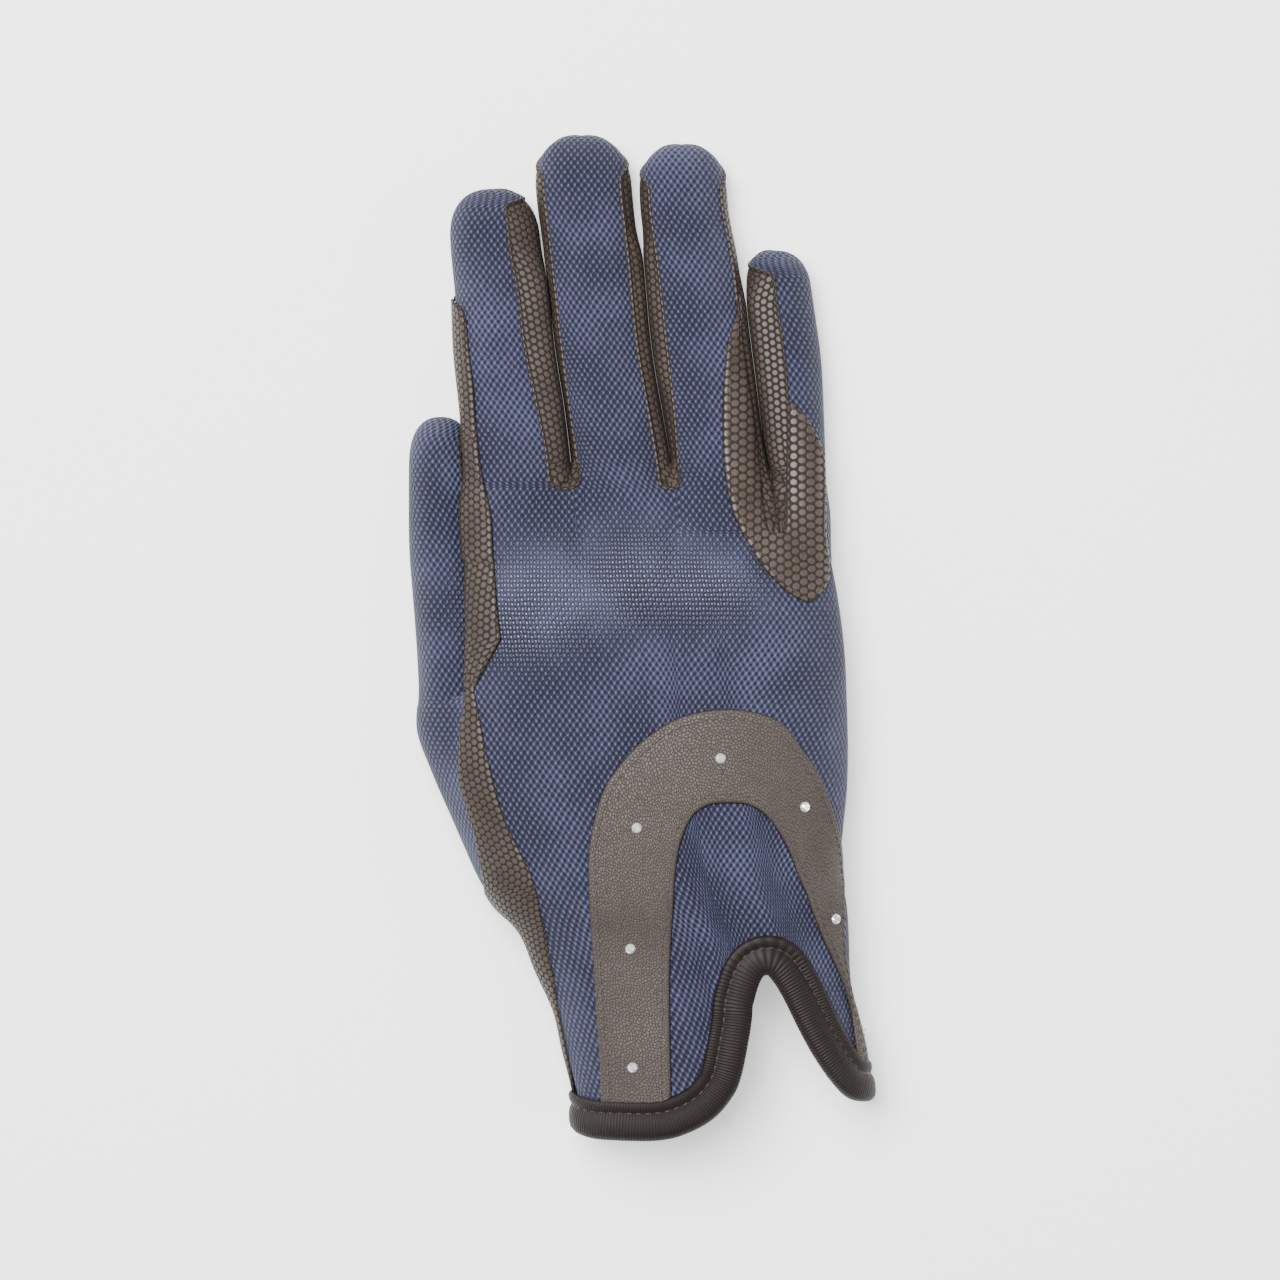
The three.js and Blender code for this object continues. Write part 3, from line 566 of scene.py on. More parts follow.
def finger_steps(name):
    """Places of a finger's rows: shared and close together by the slits' ends, then closing up at the tip."""
    tip = float(along_y(TIPS[name]))
    places = [JOIN_Y]
    for end, radius in sorted({(s["end"][1], s["round"]) for s in SLITS}):
        places += list(np.linspace(places[-1], end, max(3, int((end - places[-1]) / 1.1)))[1:])
        places += list(end + radius * (1 - np.cos(np.linspace(0, np.pi / 2, 8)))[1:])
    reach = float(FINGERS[name](tip)[1]) * FINGER_ROUND
    places += list(np.linspace(places[-1], tip - reach, int((tip - reach - places[-1]) / 1.3))[1:])
    places += list(tip_rows(tip, reach, 16))
    places.append(tip - LAST_ROW)
    return np.unique(np.round(places, 4))


def palm_angle(name, y, side):
    """Direction from a finger's middle line to its palm seam, on the right (side 1) or left (side -1)."""
    _, half, top, edge_share = FINGERS[name](y)[:4]
    edge = top * (FINGER_EDGE if side > 0 else edge_share)
    height = np.minimum(PALM_SEAM(y)[0], edge * 0.5)
    drop = np.clip((edge - height) / (edge + FINGER_SOLE), 0, 0.9)
    return np.arctan2(height - top * FINGER_EDGE, side * half * np.sqrt(1 - drop * drop))


def round_end(slit, y):
    """0 up to a slit's closed end, rising on a quarter circle to 1 where the slit has its full width."""
    return np.sqrt(1 - (1 - np.clip((y - slit["end"][1]) / slit["round"], 0, 1)) ** 2)


def top_seam_angle(name, y, side):
    """Direction from a finger's middle line to the edge of its mesh: the line between fingers below a slit's
    end, then round the slit's end to the seam, and down to the palm seam at the fingertip."""
    centre, half, _, _, left, right = FINGERS[name](y)
    palm = from_down(palm_angle(name, y, side))
    slit = slit_beside(name, side)
    if slit is None:
        return np.unwrap(palm), None
    x_seam = centre + half * np.clip(right if side > 0 else left, -0.95, 0.95)
    x_mid = mid_gap(slit, y)
    x_edge = mix(x_mid, x_seam, round_end(slit, y))
    tip = along_y(TIPS[name])
    safe_y = np.minimum(y, tip - 8)
    safe_x = axis(name, safe_y)[0]
    surface = from_above(np.where(y > tip - 8, safe_x + (x_edge - centre), x_edge), safe_y)
    angle = np.arctan2(surface[..., 2] - axis(name, y)[1], surface[..., 0] - safe_x)
    blend = smooth(y, tip - TIP_SEAM[name][0], tip - TIP_SEAM[name][1])
    return mix(angle, palm, blend), np.where(y <= slit["end"][1], x_mid, np.nan)


def finger_points(name, y, angles):
    """Surface points of a finger along rays from its middle line, one row of angles for each place y."""
    cx, cz = axis(name, y)
    return rays(one_finger(name), cx[:, None], y[:, None], cz[:, None], angles, 17.0)


def join_sides(grid, y, limits, find):
    """Puts a finger grid's first and last points on the lines that it shares with its neighbours."""
    for middle, column in zip(limits, (0, -1)):
        if middle is not None:
            joined = ~np.isnan(middle)
            grid[joined, column] = find(middle[joined], y[joined])


steps = {name: finger_steps(name) for name in NAMES}
backs, edges = {}, {}
for name in NAMES:
    y = steps[name]
    right, right_mid = top_seam_angle(name, y, 1)
    left, left_mid = top_seam_angle(name, y, -1)
    edges[name] = {-1: left, 1: right}
    spread = (1 - np.cos(np.linspace(0, np.pi, COLUMNS[name]))) / 2
    t = mix(np.linspace(0, 1, COLUMNS[name]), spread, 0.5)
    backs[name] = finger_points(name, y, mix(left[:, None], right[:, None], t))
    join_sides(backs[name], y, (left_mid, right_mid), from_above)
    print(name, backs[name].shape, "tip", backs[name][-1].mean(0).round(1))

# %% The hand's part of a sheet
HAND_AXIS = 12.5
OVAL = 3
CUFF_START, CUFF_LEFT = -105.0, -108.0
SHEET_ROWS, SHEET_INSET, TAPE_MARGIN = 150, 2.4, 1.9


def hand_axis(y):
    """Middle line of the hand: half way across, and 12.5 mm above the ground."""
    left, right = HAND(y)[:2]
    return (left + right) / 2, np.full(np.shape(y), HAND_AXIS)


def hand_points(y, angles, field=body_field):
    """Surface points of the hand along rays from its middle line."""
    cx, cz = hand_axis(y)
    return rays(field, cx, y, cz, angles, 64.0, steps=56)


def turn_of(points):
    """Direction of points from the hand's middle line, rising anticlockwise from straight down."""
    cx, cz = hand_axis(points[..., 1])
    return from_down(np.arctan2(points[..., 2] - cz, points[..., 0] - cx))


def through_down(angle):
    """The same direction, with the left side counted through straight down."""
    return np.where(angle > np.pi / 2, angle - 2 * np.pi, angle)


def same_turn(angle, near):
    """The angle, moved by whole turns to lie nearest to another one."""
    return angle + 2 * np.pi * np.round((near - angle) / (2 * np.pi))


def spread_angles(start, end, count):
    """Directions from start to end whose points lie evenly along a flat oval, three times as wide as high."""
    first, last = (same_turn(np.arctan2(OVAL * np.sin(a), np.cos(a)), a) for a in (start, end))
    t = np.linspace(first, last, count)
    return same_turn(np.arctan2(np.sin(t) / OVAL, np.cos(t)), t)


def palm_turn(y, side):
    """Direction from the hand's middle line to its palm seam, on the right (side 1) or the left (side -1)."""
    left, right, top, edge_share, _ = HAND(y)
    edge = top * (FINGER_EDGE if side > 0 else edge_share)
    height = np.minimum(PALM_SEAM(y)[0], edge * 0.6)
    drop = np.clip((edge - height) / (edge + HAND_SOLE), 0, 0.95)
    x = (left + right) / 2 + side * (right - left) / 2 * np.sqrt(1 - drop * drop)
    cx, cz = hand_axis(y)
    return from_down(np.arctan2(height - cz, x - cx))


def seam_turn(y, side):
    """The palm seam's direction at one place, as a plain number."""
    return float(palm_turn(np.array([y]), side)[0])


# The cuff's edge, as the tape's outer line in the photograph, and the palm side's in plan millimetres
cuff_back = [
    (560, 1098), (573, 1122), (588, 1130), (620, 1131), (657, 1130), (682, 1124), (708, 1110), (726, 1090),
    (735, 1070), (743, 1030), (746, 1010), (749, 990), (757, 970), (768, 966), (778, 976), (788, 992),
    (798, 1012), (807, 1030), (818, 1050), (833, 1072), (850, 1090), (868, 1096), (885, 1100),
]
cuff_palm = [
    (-21.0, -108.1), (-12.6, -109.9), (-5.0, -104.0), (4.6, -89.7), (14.3, -74.8), (27.7, -67.2),
    (39.9, -76.8), (45.4, -95.7), (50.0, -107.2), (58.8, -109.5),
]


def fine(x, count=240):
    """A smooth run through outline points: Catmull-Rom cubics over even steps of the list."""
    x = np.asarray(x, float)
    t = np.linspace(0, len(x) - 1, count)
    k = np.clip(t.astype(int), 0, len(x) - 2)
    f = t - k
    p0, p1, p2, p3 = (x[np.clip(k + d, 0, len(x) - 1)] for d in (-1, 0, 1, 2))
    square = 2 * p0 - 5 * p1 + 4 * p2 - p3
    cube = 3 * p1 - p0 - 3 * p2 + p3
    return 0.5 * (2 * p1 + (p2 - p0) * f + square * f**2 + cube * f**3)


CUFF = {
    "back": [fine(c) for c in np.array([plan(*p) for p in cuff_back]).T],
    "palm": [fine(c) for c in np.array(cuff_palm).T],
}


def cuff_at(side, x, margin=0.0):
    """y of the cuff's edge over a place across the glove, or the highest within a margin round it."""
    xs, ys = CUFF[side]
    order = np.argsort(xs)
    return np.max([np.interp(x + d, xs[order], ys[order]) for d in np.linspace(-margin, margin, 7)], axis=0)


def hand_sheet(joint, start_left, start_right, side, field=body_field):
    """The hand's part of a sheet. Its last row is the fingers' joint row, and its first follows the cuff's
    edge. Directions pass smoothly from an even spread at the cuff to the joint row's own directions."""
    target = turn_of(joint)
    first = spread_angles(start_left, start_right, joint.shape[0])
    if side == "palm":
        target = through_down(target)
    t = np.linspace(0, 1, SHEET_ROWS)[:, None] ** 0.9
    angle = mix(first, target, smooth(t, 0, 1))
    y_start = np.full(joint.shape[0], CUFF_START)
    for _ in range(4):
        x = hand_points(y_start, first, field)[..., 0]
        y_start = mix(y_start, cuff_at(side, x, TAPE_MARGIN) + SHEET_INSET, 0.8)
    points = hand_points(mix(y_start, JOIN_Y, t), angle, field)
    points[-1] = joint
    return points


def joint_row(sheets):
    """The fingers' first rows end to end, without their doubled points between."""
    rows = [sheet[0] for sheet in sheets.values()]
    return np.concatenate([rows[0]] + [row[1:] for row in rows[1:]])


corner_x = max(float(strip_inner(CUFF_LEFT)) - 1.0, float(HAND(CUFF_LEFT)[0]) + 0.8)
strip_turn = turn_of(from_above(np.array([corner_x]), np.array([CUFF_LEFT])))[0]
right_turn = seam_turn(CUFF_START, 1)
back_hand = hand_sheet(joint_row(backs), strip_turn, right_turn, "back")
print("hand's back", back_hand.shape, "starts at", back_hand[0].min(0).round(1))

# %% The palm's sheets: the lower half of the same form
palms = {}
for name in NAMES:
    y = steps[name]
    limits, middles = [], []
    for side in (-1, 1):
        palm = palm_angle(name, y, side)
        palm = through_down(palm) if side < 0 else palm
        slit, x_mid = slit_beside(name, side), None
        if slit is not None:
            end = slit["end"][1]
            x_mid = mid_gap(slit, y)
            middle = from_below(x_mid, np.minimum(y, end))
            cx, cz = axis(name, y)
            down = np.arctan2(middle[..., 2] - cz, middle[..., 0] - cx)
            palm = mix(down, palm, round_end(slit, y))
            x_mid = np.where(y <= end, x_mid, np.nan)
        limits.append(palm[:, None])
        middles.append(x_mid)
    palms[name] = finger_points(name, y, mix(*limits, np.linspace(0, 1, COLUMNS[name])))
    join_sides(palms[name], y, middles, from_below)
palm_left = seam_turn(CUFF_START, -1) - 2 * np.pi
palm_hand = hand_sheet(joint_row(palms), palm_left, right_turn, "palm", palm_field)
print("hand's palm", palm_hand.shape)

# %% Fourchettes: the walls of the slits


def fourchette(slit, levels=13):
    """A slit's lining: up one finger's side, round the slit's end, and up the next finger's side. Level 0 is
    the mesh's seam and level 1 the palm's. Below the place where the fingers meet, both walls bend inwards.
    Round the end, a half turn joins the two walls, less deep further down."""
    level = np.linspace(0, 1, levels)
    walls = []
    for name, side in zip(slit["between"], (1, -1)):
        y = steps[name]
        y = y[y >= slit["end"][1] + slit["round"] - 1e-6]
        seam = edges[name][side][-len(y):]
        palm = from_down(palm_angle(name, y, side))
        points = finger_points(name, y, mix(seam[:, None], palm[:, None], level))
        gap = (mid_gap(slit, y)[:, None] - points[..., 0]) * 0.97
        met = (1 - smooth(y, slit["meet"] - 6, slit["meet"] + 3))[:, None]
        points[..., 0] += gap * met * np.sin(level * np.pi) ** 0.6
        walls.append(points)
    turn = np.linspace(0, np.pi, 17)[1:-1, None]
    left, right = walls[0][0], walls[1][0]
    middle, half = (left + right) / 2, (left - right) / 2
    depth = slit["round"] * (1 - 0.9 * np.sqrt(np.sin(level * np.pi))) + 0.15
    bend = middle + half * np.cos(turn)[..., None]
    bend[..., 1] -= depth * np.sin(turn)
    top = from_above(bend[:, 0, 0], bend[:, 0, 1])[:, 2]
    bend[..., 2] += (top - bend[:, 0, 2])[:, None] * (1 - level) ** 2
    return np.concatenate([walls[0][::-1], bend, walls[1]])


linings = {"_".join(slit["between"]): fourchette(slit) for slit in SLITS}
for name, grid in linings.items():
    print("fourchette", name, grid.shape)

# %% The thumb


def thumb_rows():
    """Places of the thumb's rows, closing up at its tip and at the heel of the hand."""
    tip = float(along_y(THUMB_TIP))
    reach = float(THUMB(tip)[1]) * THUMB_ROUND
    body = np.linspace(float(along_y(0.205)), tip - reach, 84)
    return np.concatenate([body, tip_rows(tip, reach, 20), [tip - LAST_ROW]])


def thumb_points(angles):
    """Surface points of the thumb along rays from its middle line."""
    y = thumb_rows()
    centre, _, top = THUMB(y)
    angles = np.broadcast_to(angles, (len(y), angles.shape[-1]))
    return rays(thumb_field, centre[:, None], y[:, None], (top * FINGER_EDGE)[:, None], angles, 18.0)


# The seam lies low on the outside. Inside, it rises near the tip, where a wedge of leather shows.
wedge = 42 * smooth(thumb_rows(), 18, 38) * (1 - 0.7 * smooth(thumb_rows(), 44, 49))
inside = np.radians(16 + wedge)[:, None]
share = np.linspace(0, 1, 49)
thumb_back = thumb_points(mix(np.radians(200), inside, share))
thumb_front = thumb_points(mix(np.radians(-160), inside, share))
print("thumb", thumb_back.shape)

# %% [markdown]
# ## Materials
# The mesh, the two grip leathers, the smooth leather and the tape are procedural surfaces that read the
# panel's own millimetres. Thread and glass read the place on the object instead. One helper adds a node with
# its settings and links, and one turns an sRGB hex value to linear light.

# %% Material tools


def colour(hex_value):
    """Linear RGBA of an sRGB hex value: the standard sRGB curve, undone for each channel."""
    parts = [((hex_value >> shift) & 255) / 255 for shift in (16, 8, 0)]
    return (*(p / 12.92 if p <= 0.04045 else ((p + 0.055) / 1.055) ** 2.4 for p in parts), 1.0)


def add(tree, kind, inputs=None, **settings):
    """Adds a node. settings are its properties, and inputs its sockets by name or place: values or links."""
    made = tree.nodes.new("ShaderNode" + kind)
    for key, value in settings.items():
        setattr(made, key, value)
    for key, value in (inputs or {}).items():
        socket = made.inputs[key]
        if isinstance(value, bpy.types.NodeSocket):
            tree.links.new(value, socket)
        else:
            socket.default_value = value
    return made


def material(name, **shader):
    """An empty material whose shader has these values on its own sockets."""
    made = bpy.data.materials.new(name)
    made.use_nodes = True
    tree = made.node_tree
    surface = tree.nodes["Principled BSDF"]
    for key, value in shader.items():
        surface.inputs[key.replace("_", " ")].default_value = value
    return made, tree, surface


def weave_place(tree):
    """The pattern coordinates of the panel."""
    return add(tree, "UVMap", uv_map="weave").outputs["UV"]


def noise(tree, place, scale, detail, output="Fac"):
    """Soft random spots, this many to a unit of the place."""
    return add(tree, "TexNoise", {"Vector": place, "Scale": scale, "Detail": detail}).outputs[output]


def steps_of(tree, source, low, high):
    """A smooth step of a value: 0 below low and 1 above high."""
    return add(tree, "MapRange", {"Value": source, "From Min": low, "From Max": high},
               interpolation_type="SMOOTHSTEP").outputs["Result"]


def maths(tree, operation, *values):
    return add(tree, "Math", dict(enumerate(values)), operation=operation).outputs[0]


def blend_colours(tree, share, a, b):
    """The colour a share of the way from a to b."""
    return add(tree, "Mix", {0: share, 6: a, 7: b}, data_type="RGBA").outputs[2]


def wave(tree, map_socket, direction, period):
    """Cosine of a whole turn for every period in millimetres along a direction of the pattern coordinates."""
    scaled = tuple(d * 2 * math.pi / period for d in direction) + (0.0,)
    along = add(tree, "VectorMath", {0: map_socket, 1: scaled}, operation="DOT_PRODUCT").outputs["Value"]
    return maths(tree, "COSINE", along)


def dull_lines(tree, surface, pattern, low, high):
    """Roughness that goes from low where a pattern is 0 to high where it is 1."""
    rough = add(tree, "MapRange", {"Value": pattern, "To Min": low, "To Max": high}).outputs["Result"]
    tree.links.new(rough, surface.inputs["Roughness"])


def cover(tree, surface, shade, height, strength, depth):
    """Gives the surface its colour, and a relief this deep in metres from a height."""
    tree.links.new(shade, surface.inputs["Base Color"])
    bump = add(tree, "Bump", {"Height": height, "Strength": strength, "Distance": depth}).outputs["Normal"]
    tree.links.new(bump, surface.inputs["Normal"])


# %% [markdown]
# ### Navy mesh
# Warp-knitted polyester mesh: rows of small holes, each row shifted by half a step against the last. Two
# crossed waves multiplied give just that staggered grid: high in the holes and low on the loops of yarn.
# Holes lie 1.55 mm apart across the glove and 1.06 mm from row to row. The holes are painted near black,
# as painted shade inside the glove, and the loops of yarn are painted lighter, as a painted highlight on
# their tops. Over the knuckles the mesh is stretched and the holes are painted pale: partly the pale
# backing that shows through, partly a painted glint.

# %% Navy mesh
HOLE_PITCH, HOLE_ROW = 1.55, 1.06
mesh_cloth, tree, surface = material("warp_knitted_polyester_mesh", Roughness=0.72, Sheen_Weight=0.15,
                                     Sheen_Roughness=0.45, Specular_IOR_Level=0.35)
surface.inputs["Sheen Tint"].default_value = colour(0x8084A0)
place = weave_place(tree)
wobble = noise(tree, place, 0.55, 1.0, "Color")
place = add(tree, "VectorMath", {0: wobble, 1: (0.5, 0.5, 0.0), 2: place},
            operation="MULTIPLY_ADD").outputs[0]
knit = maths(tree, "MULTIPLY", wave(tree, place, (1, 0), HOLE_PITCH), wave(tree, place, (0, 1), 2 * HOLE_ROW))
hole = steps_of(tree, knit, 0.12, 0.72)
# Painted highlight: the loops of yarn are painted lighter where they stand highest.
loop_highlight = steps_of(tree, knit, -0.15, -0.85)
twist = noise(tree, place, 5.0, 2.0)
broad = noise(tree, place, 0.05, 2.0)
yarn = blend_colours(tree, loop_highlight, colour(0x16182C), colour(0x4E4F71))
yarn = blend_colours(tree, maths(tree, "MULTIPLY", twist, 0.5), yarn, colour(0x181A30))
pale = blend_colours(tree, 0.18, yarn, colour(0x6A6F98))
yarn = blend_colours(tree, steps_of(tree, broad, 0.35, 0.75), yarn, pale)
stretched = add(tree, "Attribute", attribute_name="stretch").outputs["Fac"]
# Painted glint: over the stretched knuckles the hole centres turn pale, partly the backing's colour and partly
# painted light.
glint = maths(tree, "MULTIPLY", steps_of(tree, knit, 0.5, 0.95), maths(tree, "MULTIPLY", stretched, 0.75))
# The holes are painted near black as painted shade inside the glove, passing to the painted glint over the
# knuckles.
deep = blend_colours(tree, glint, colour(0x07080F), colour(0x9C9A90))
height = maths(tree, "ADD", maths(tree, "MULTIPLY", knit, -0.5), maths(tree, "MULTIPLY", twist, 0.25))
cover(tree, surface, blend_colours(tree, hole, yarn, deep), height, 0.9, 0.0007)

# %% [markdown]
# ### Grip leather
# Synthetic leather, a polyurethane skin on a knit, pressed with a honeycomb so that it grips the reins. Three
# waves that cross at sixty degrees add up to round tops on a triangular grid with a hexagon of low lines
# round each, which is what the press leaves. It is satin on the tops and dull in the lines. The rein patch
# has larger cells than the rest.

# %% Grip leather


def grip_leather(name, pitch, tops, lines, rough=0.5):
    """Honeycomb leather with cells this many millimetres apart."""
    made, tree, surface = material(name, Specular_IOR_Level=0.35)
    place = weave_place(tree)
    period = pitch * math.sqrt(3) / 2
    waves = [wave(tree, place, (math.cos(a), math.sin(a)), period) for a in (0, math.pi / 3, 2 * math.pi / 3)]
    total = maths(tree, "ADD", maths(tree, "ADD", waves[0], waves[1]), waves[2])
    cell = steps_of(tree, total, -1.25, 0.1)
    grain = noise(tree, place, 3.2, 3.0)
    broad = noise(tree, place, 0.08, 2.0)
    top = blend_colours(tree, steps_of(tree, broad, 0.3, 0.7), colour(tops[0]), colour(tops[1]))
    top = blend_colours(tree, maths(tree, "MULTIPLY", grain, 0.3), top, colour(lines))
    dull_lines(tree, surface, cell, 0.85, rough)
    height = maths(tree, "ADD", cell, maths(tree, "MULTIPLY", grain, 0.2))
    cover(tree, surface, blend_colours(tree, cell, colour(lines), top), height, 0.7, 0.0003)
    return made


grip = grip_leather("pressed_polyurethane_leather", 1.75, (0x352A24, 0x43382F), 0x150D0A)
grip_large = grip_leather("coarse_pressed_polyurethane_leather", 2.0, (0x3B2F28, 0x4B4039), 0x1A110C, 0.42)

# %% [markdown]
# ### Smooth leather
# The horseshoe is synthetic nappa: flat, with a fine pebble about 0.7 mm wide and a soft satin gloss.

# %% Smooth leather
nappa, tree, surface = material("fine_grained_synthetic_nappa", Specular_IOR_Level=0.35)
place = weave_place(tree)
pebble = add(tree, "TexVoronoi", {"Vector": place, "Scale": 1.35, "Randomness": 1.0},
             feature="DISTANCE_TO_EDGE", voronoi_dimensions="2D").outputs["Distance"]
pebble = steps_of(tree, pebble, 0.0, 0.28)
top = blend_colours(tree, noise(tree, place, 0.12, 3.0), colour(0x3B322D), colour(0x48403B))
dull_lines(tree, surface, pebble, 0.72, 0.5)
cover(tree, surface, blend_colours(tree, pebble, colour(0x261E1A), top), pebble, 0.45, 0.00015)

# %% [markdown]
# ### Binding tape
# Woven elastic polyamide tape. Its ribs run across it, 0.7 mm apart, and its face is a little shiny.

# %% Binding tape, thread and glass
tape_cloth, tree, surface = material("woven_elastic_polyamide_tape", Roughness=0.6, Specular_IOR_Level=0.25,
                                     Sheen_Weight=0.05, Sheen_Roughness=0.4)
surface.inputs["Sheen Tint"].default_value = colour(0x8A7468)
place = weave_place(tree)
rib = maths(tree, "MULTIPLY_ADD", wave(tree, place, (0, 1), 0.7), 0.5, 0.5)
strand = noise(tree, place, 4.0, 2.0)
face = blend_colours(tree, rib, colour(0x080403), colour(0x190F0C))
face = blend_colours(tree, maths(tree, "MULTIPLY", strand, 0.4), face, colour(0x0E0706))
cover(tree, surface, face, maths(tree, "MULTIPLY_ADD", strand, 0.3, rib), 0.6, 0.0002)

thread, tree, surface = material("spun_polyester_thread", Roughness=0.6, Sheen_Weight=0.2)
strand = noise(tree, add(tree, "TexCoord").outputs["Object"], 2500.0, 1.0)
tree.links.new(blend_colours(tree, strand, colour(0x160D0A), colour(0x2E211B)), surface.inputs["Base Color"])

glass, tree, surface = material("cut_lead_glass", Roughness=0.06, IOR=1.62, Metallic=0.55, Coat_Weight=1.0)
# The stone's colour is painted: near white with random pale colour patches, a painted sparkle standing for the
# reflections and fire of cut glass.
sparkle_patches = add(tree, "TexVoronoi", {"Vector": add(tree, "TexCoord").outputs["Object"], "Scale": 1400.0})
painted_sparkle = blend_colours(tree, 0.55, sparkle_patches.outputs["Color"], colour(0xF4F6FA))
tree.links.new(painted_sparkle, surface.inputs["Base Color"])
print("materials:", sorted(m.name for m in bpy.data.materials))

# %% The main panels
# Stretched places over the knuckles, where the holes get a painted glint: x, y, reach across and reach along,
# in millimetres
KNUCKLES = [(-23.0, 8.0, 13.0, 9.0), (-1.5, 12.0, 11.0, 9.0), (-28.0, 3.0, 9.0, 8.0), (16.0, 10.0, 9.0, 7.0)]


def stretch_of(points):
    """How far the mesh is stretched, 0 to 1, which also sets where the glint is painted: a Gaussian round each
    knuckle.
    """
    total = np.zeros(points.shape[:2])
    for x, y, wide, long in KNUCKLES:
        total += np.exp(-((points[..., 0] - x) / wide) ** 2 - ((points[..., 1] - y) / long) ** 2)
    return np.clip(total, 0, 1)


def sheet_maps(hand, fingers):
    """Pattern coordinates of a hand grid and its fingers' grids, which carry on from the hand's last row."""
    column = int(np.abs(hand[-1, :, 0]).argmin())
    hand_map = np.stack([run_lengths(hand, 1), np.broadcast_to(hand[..., 1], hand.shape[:2])], -1)
    hand_map[..., 0] -= hand_map[:, column:column + 1, 0]
    maps, first = [hand_map], 0
    for grid in fingers.values():
        chart = cloth_map(grid, JOIN_Y)
        chart[..., 0] += hand_map[-1, first + grid.shape[1] // 2, 0]
        maps.append(chart)
        first += grid.shape[1] - 1
    return maps


back_grids, palm_grids = [back_hand, *backs.values()], [palm_hand, *palms.values()]
stretches = [stretch_of(grid) for grid in back_grids]
back_panel = make("back_panel", back_grids, mesh_cloth, sheet_maps(back_hand, backs), weld=True,
                  stretch=stretches)
palm_panel = make("palm_panel", palm_grids, grip, sheet_maps(palm_hand, palms), flip=True,
                  weld=True)
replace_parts(wall(back_panel, 0.8), "back_panel")
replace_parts(wall(palm_panel, 0.9), "palm_panel")
for name, grid in linings.items():
    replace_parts(make("fourchette_" + name, [grid], grip, flip=True), "fourchette_" + name)
thumb_mesh = make("thumb_back", [thumb_back], mesh_cloth, stretch=[stretch_of(thumb_back)])
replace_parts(thumb_mesh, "thumb_back")
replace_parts(make("thumb_front", [thumb_front], grip, flip=True), "thumb_front")

# %% [markdown]
# ## Layers on the back
# The strips, the rein patch and the horseshoe are separate pieces of leather sewn on top. Each is laid on the
# form a little higher than the mesh, with its border turned down, and then given its thickness.

# %% Laying a layer
TURN_WIDTH = 0.9


def lay(surface_points, rise, turned, ends=(True, True)):
    """Raises a grid off the surface by rise, and turns its border down over its last 0.9 mm: the height near
    an edge is a quarter circle of the distance from it."""
    across = run_lengths(surface_points, 1)
    near = np.minimum(across, across[:, -1:] - across)
    along = run_lengths(surface_points, 0)
    if ends[0]:
        near = np.minimum(near, along)
    if ends[1]:
        near = np.minimum(near, along[-1:] - along)
    share = np.clip(near / TURN_WIDTH, 0, 1)
    height = rise - turned * (1 - np.sqrt(1 - (1 - share) ** 2))
    return surface_points + outward(surface_points) * height[..., None]


def edge_spread(count):
    """Shares 0 to 1, closer together near both ends."""
    t = np.linspace(0, 1, count)
    return mix(t, (1 - np.cos(np.pi * t)) / 2, 0.7)


# %% The index strip, the side strip and the rein patch
corner_y, peak_y = plan(503, 640)[1], plan(450, 293)[1]
y = np.concatenate([np.linspace(plan(475, 692)[1], corner_y, 24)[:-1], np.linspace(corner_y, peak_y, 120)])
slant = mix(plan(474, 692)[0], plan(503, 637)[0], np.clip((y - y[0]) / (corner_y - y[0]), 0, 1))
start = turn_to("index", np.where(y < corner_y, slant, index_inner(y)), y)
end = palm_angle("index", np.maximum(y, along_y(0.60)), -1)
end = np.where(end < 0, end + 2 * np.pi, end)
end = mix(start + 0.12, end, np.clip((peak_y - y) / 3.0, 0, 1))
start = mix(start, end - 0.08, smooth(y, peak_y - 3, peak_y))
index_grid = finger_points("index", y, mix(start[:, None], end[:, None], edge_spread(30)))
index_strip = make("index_strip", [lay(index_grid, 1.05, 0.75)], grip, flip=True)
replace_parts(wall(index_strip, 0.7), "index_strip")

y = np.linspace(plan(475, 655)[1], -107.0, 190)
inner_angle = turn_of(from_above(strip_inner(y), y))
upper_y = np.maximum(y, plan(486, 893)[1])
outer_angle = turn_of(from_above(np.maximum(strip_outer(upper_y), -52.0), upper_y))
wrapped = np.maximum(palm_turn(y, -1) + 0.14, inner_angle + 0.25)
outer_angle = mix(outer_angle, wrapped, smooth(-y, 58.0, 74.0))
side_angles = mix(inner_angle[:, None], outer_angle[:, None], edge_spread(26))
side_grid = hand_points(np.broadcast_to(y[:, None], side_angles.shape), side_angles)
side_strip = make("side_strip", [lay(side_grid, 0.55, 0.45, (True, False))], grip)
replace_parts(wall(side_strip, 0.5), "side_strip")

patch_left = by_y([
    (741, 300), (737, 315), (731, 330), (727, 345), (724, 370), (722, 410), (722, 440), (724, 470),
    (731, 510), (739, 530), (750, 550), (763, 570), (783, 590), (796, 599), (805, 603),
])
patch_right = by_y([
    (788, 400), (795, 406), (806, 418), (814, 432), (822, 452), (827, 472), (832, 505), (834, 530),
    (833, 555), (828, 578), (820, 592), (812, 600), (806, 603),
])
slit_y = SLITS[2]["end"][1]
tip_y, top_y, foot_y = plan(741, 300)[1], plan(788, 402)[1], plan(0, 603)[1] + 0.01


def on_back(places):
    """Plan places on the top of the glove, kept just inside the right side's widest line."""
    x, y = places[..., 0], places[..., 1]
    return from_above(np.minimum(x, HAND(y)[1] - 0.25), y)


def patch_limit(y):
    """The right side's widest line, less a margin: the hand's, and past the slit's end the little finger's."""
    centre, half = FINGERS["little"](y)[:2]
    return mix(HAND(y)[1], centre + half, smooth(y, slit_y - 2, slit_y + 8)) - 0.9


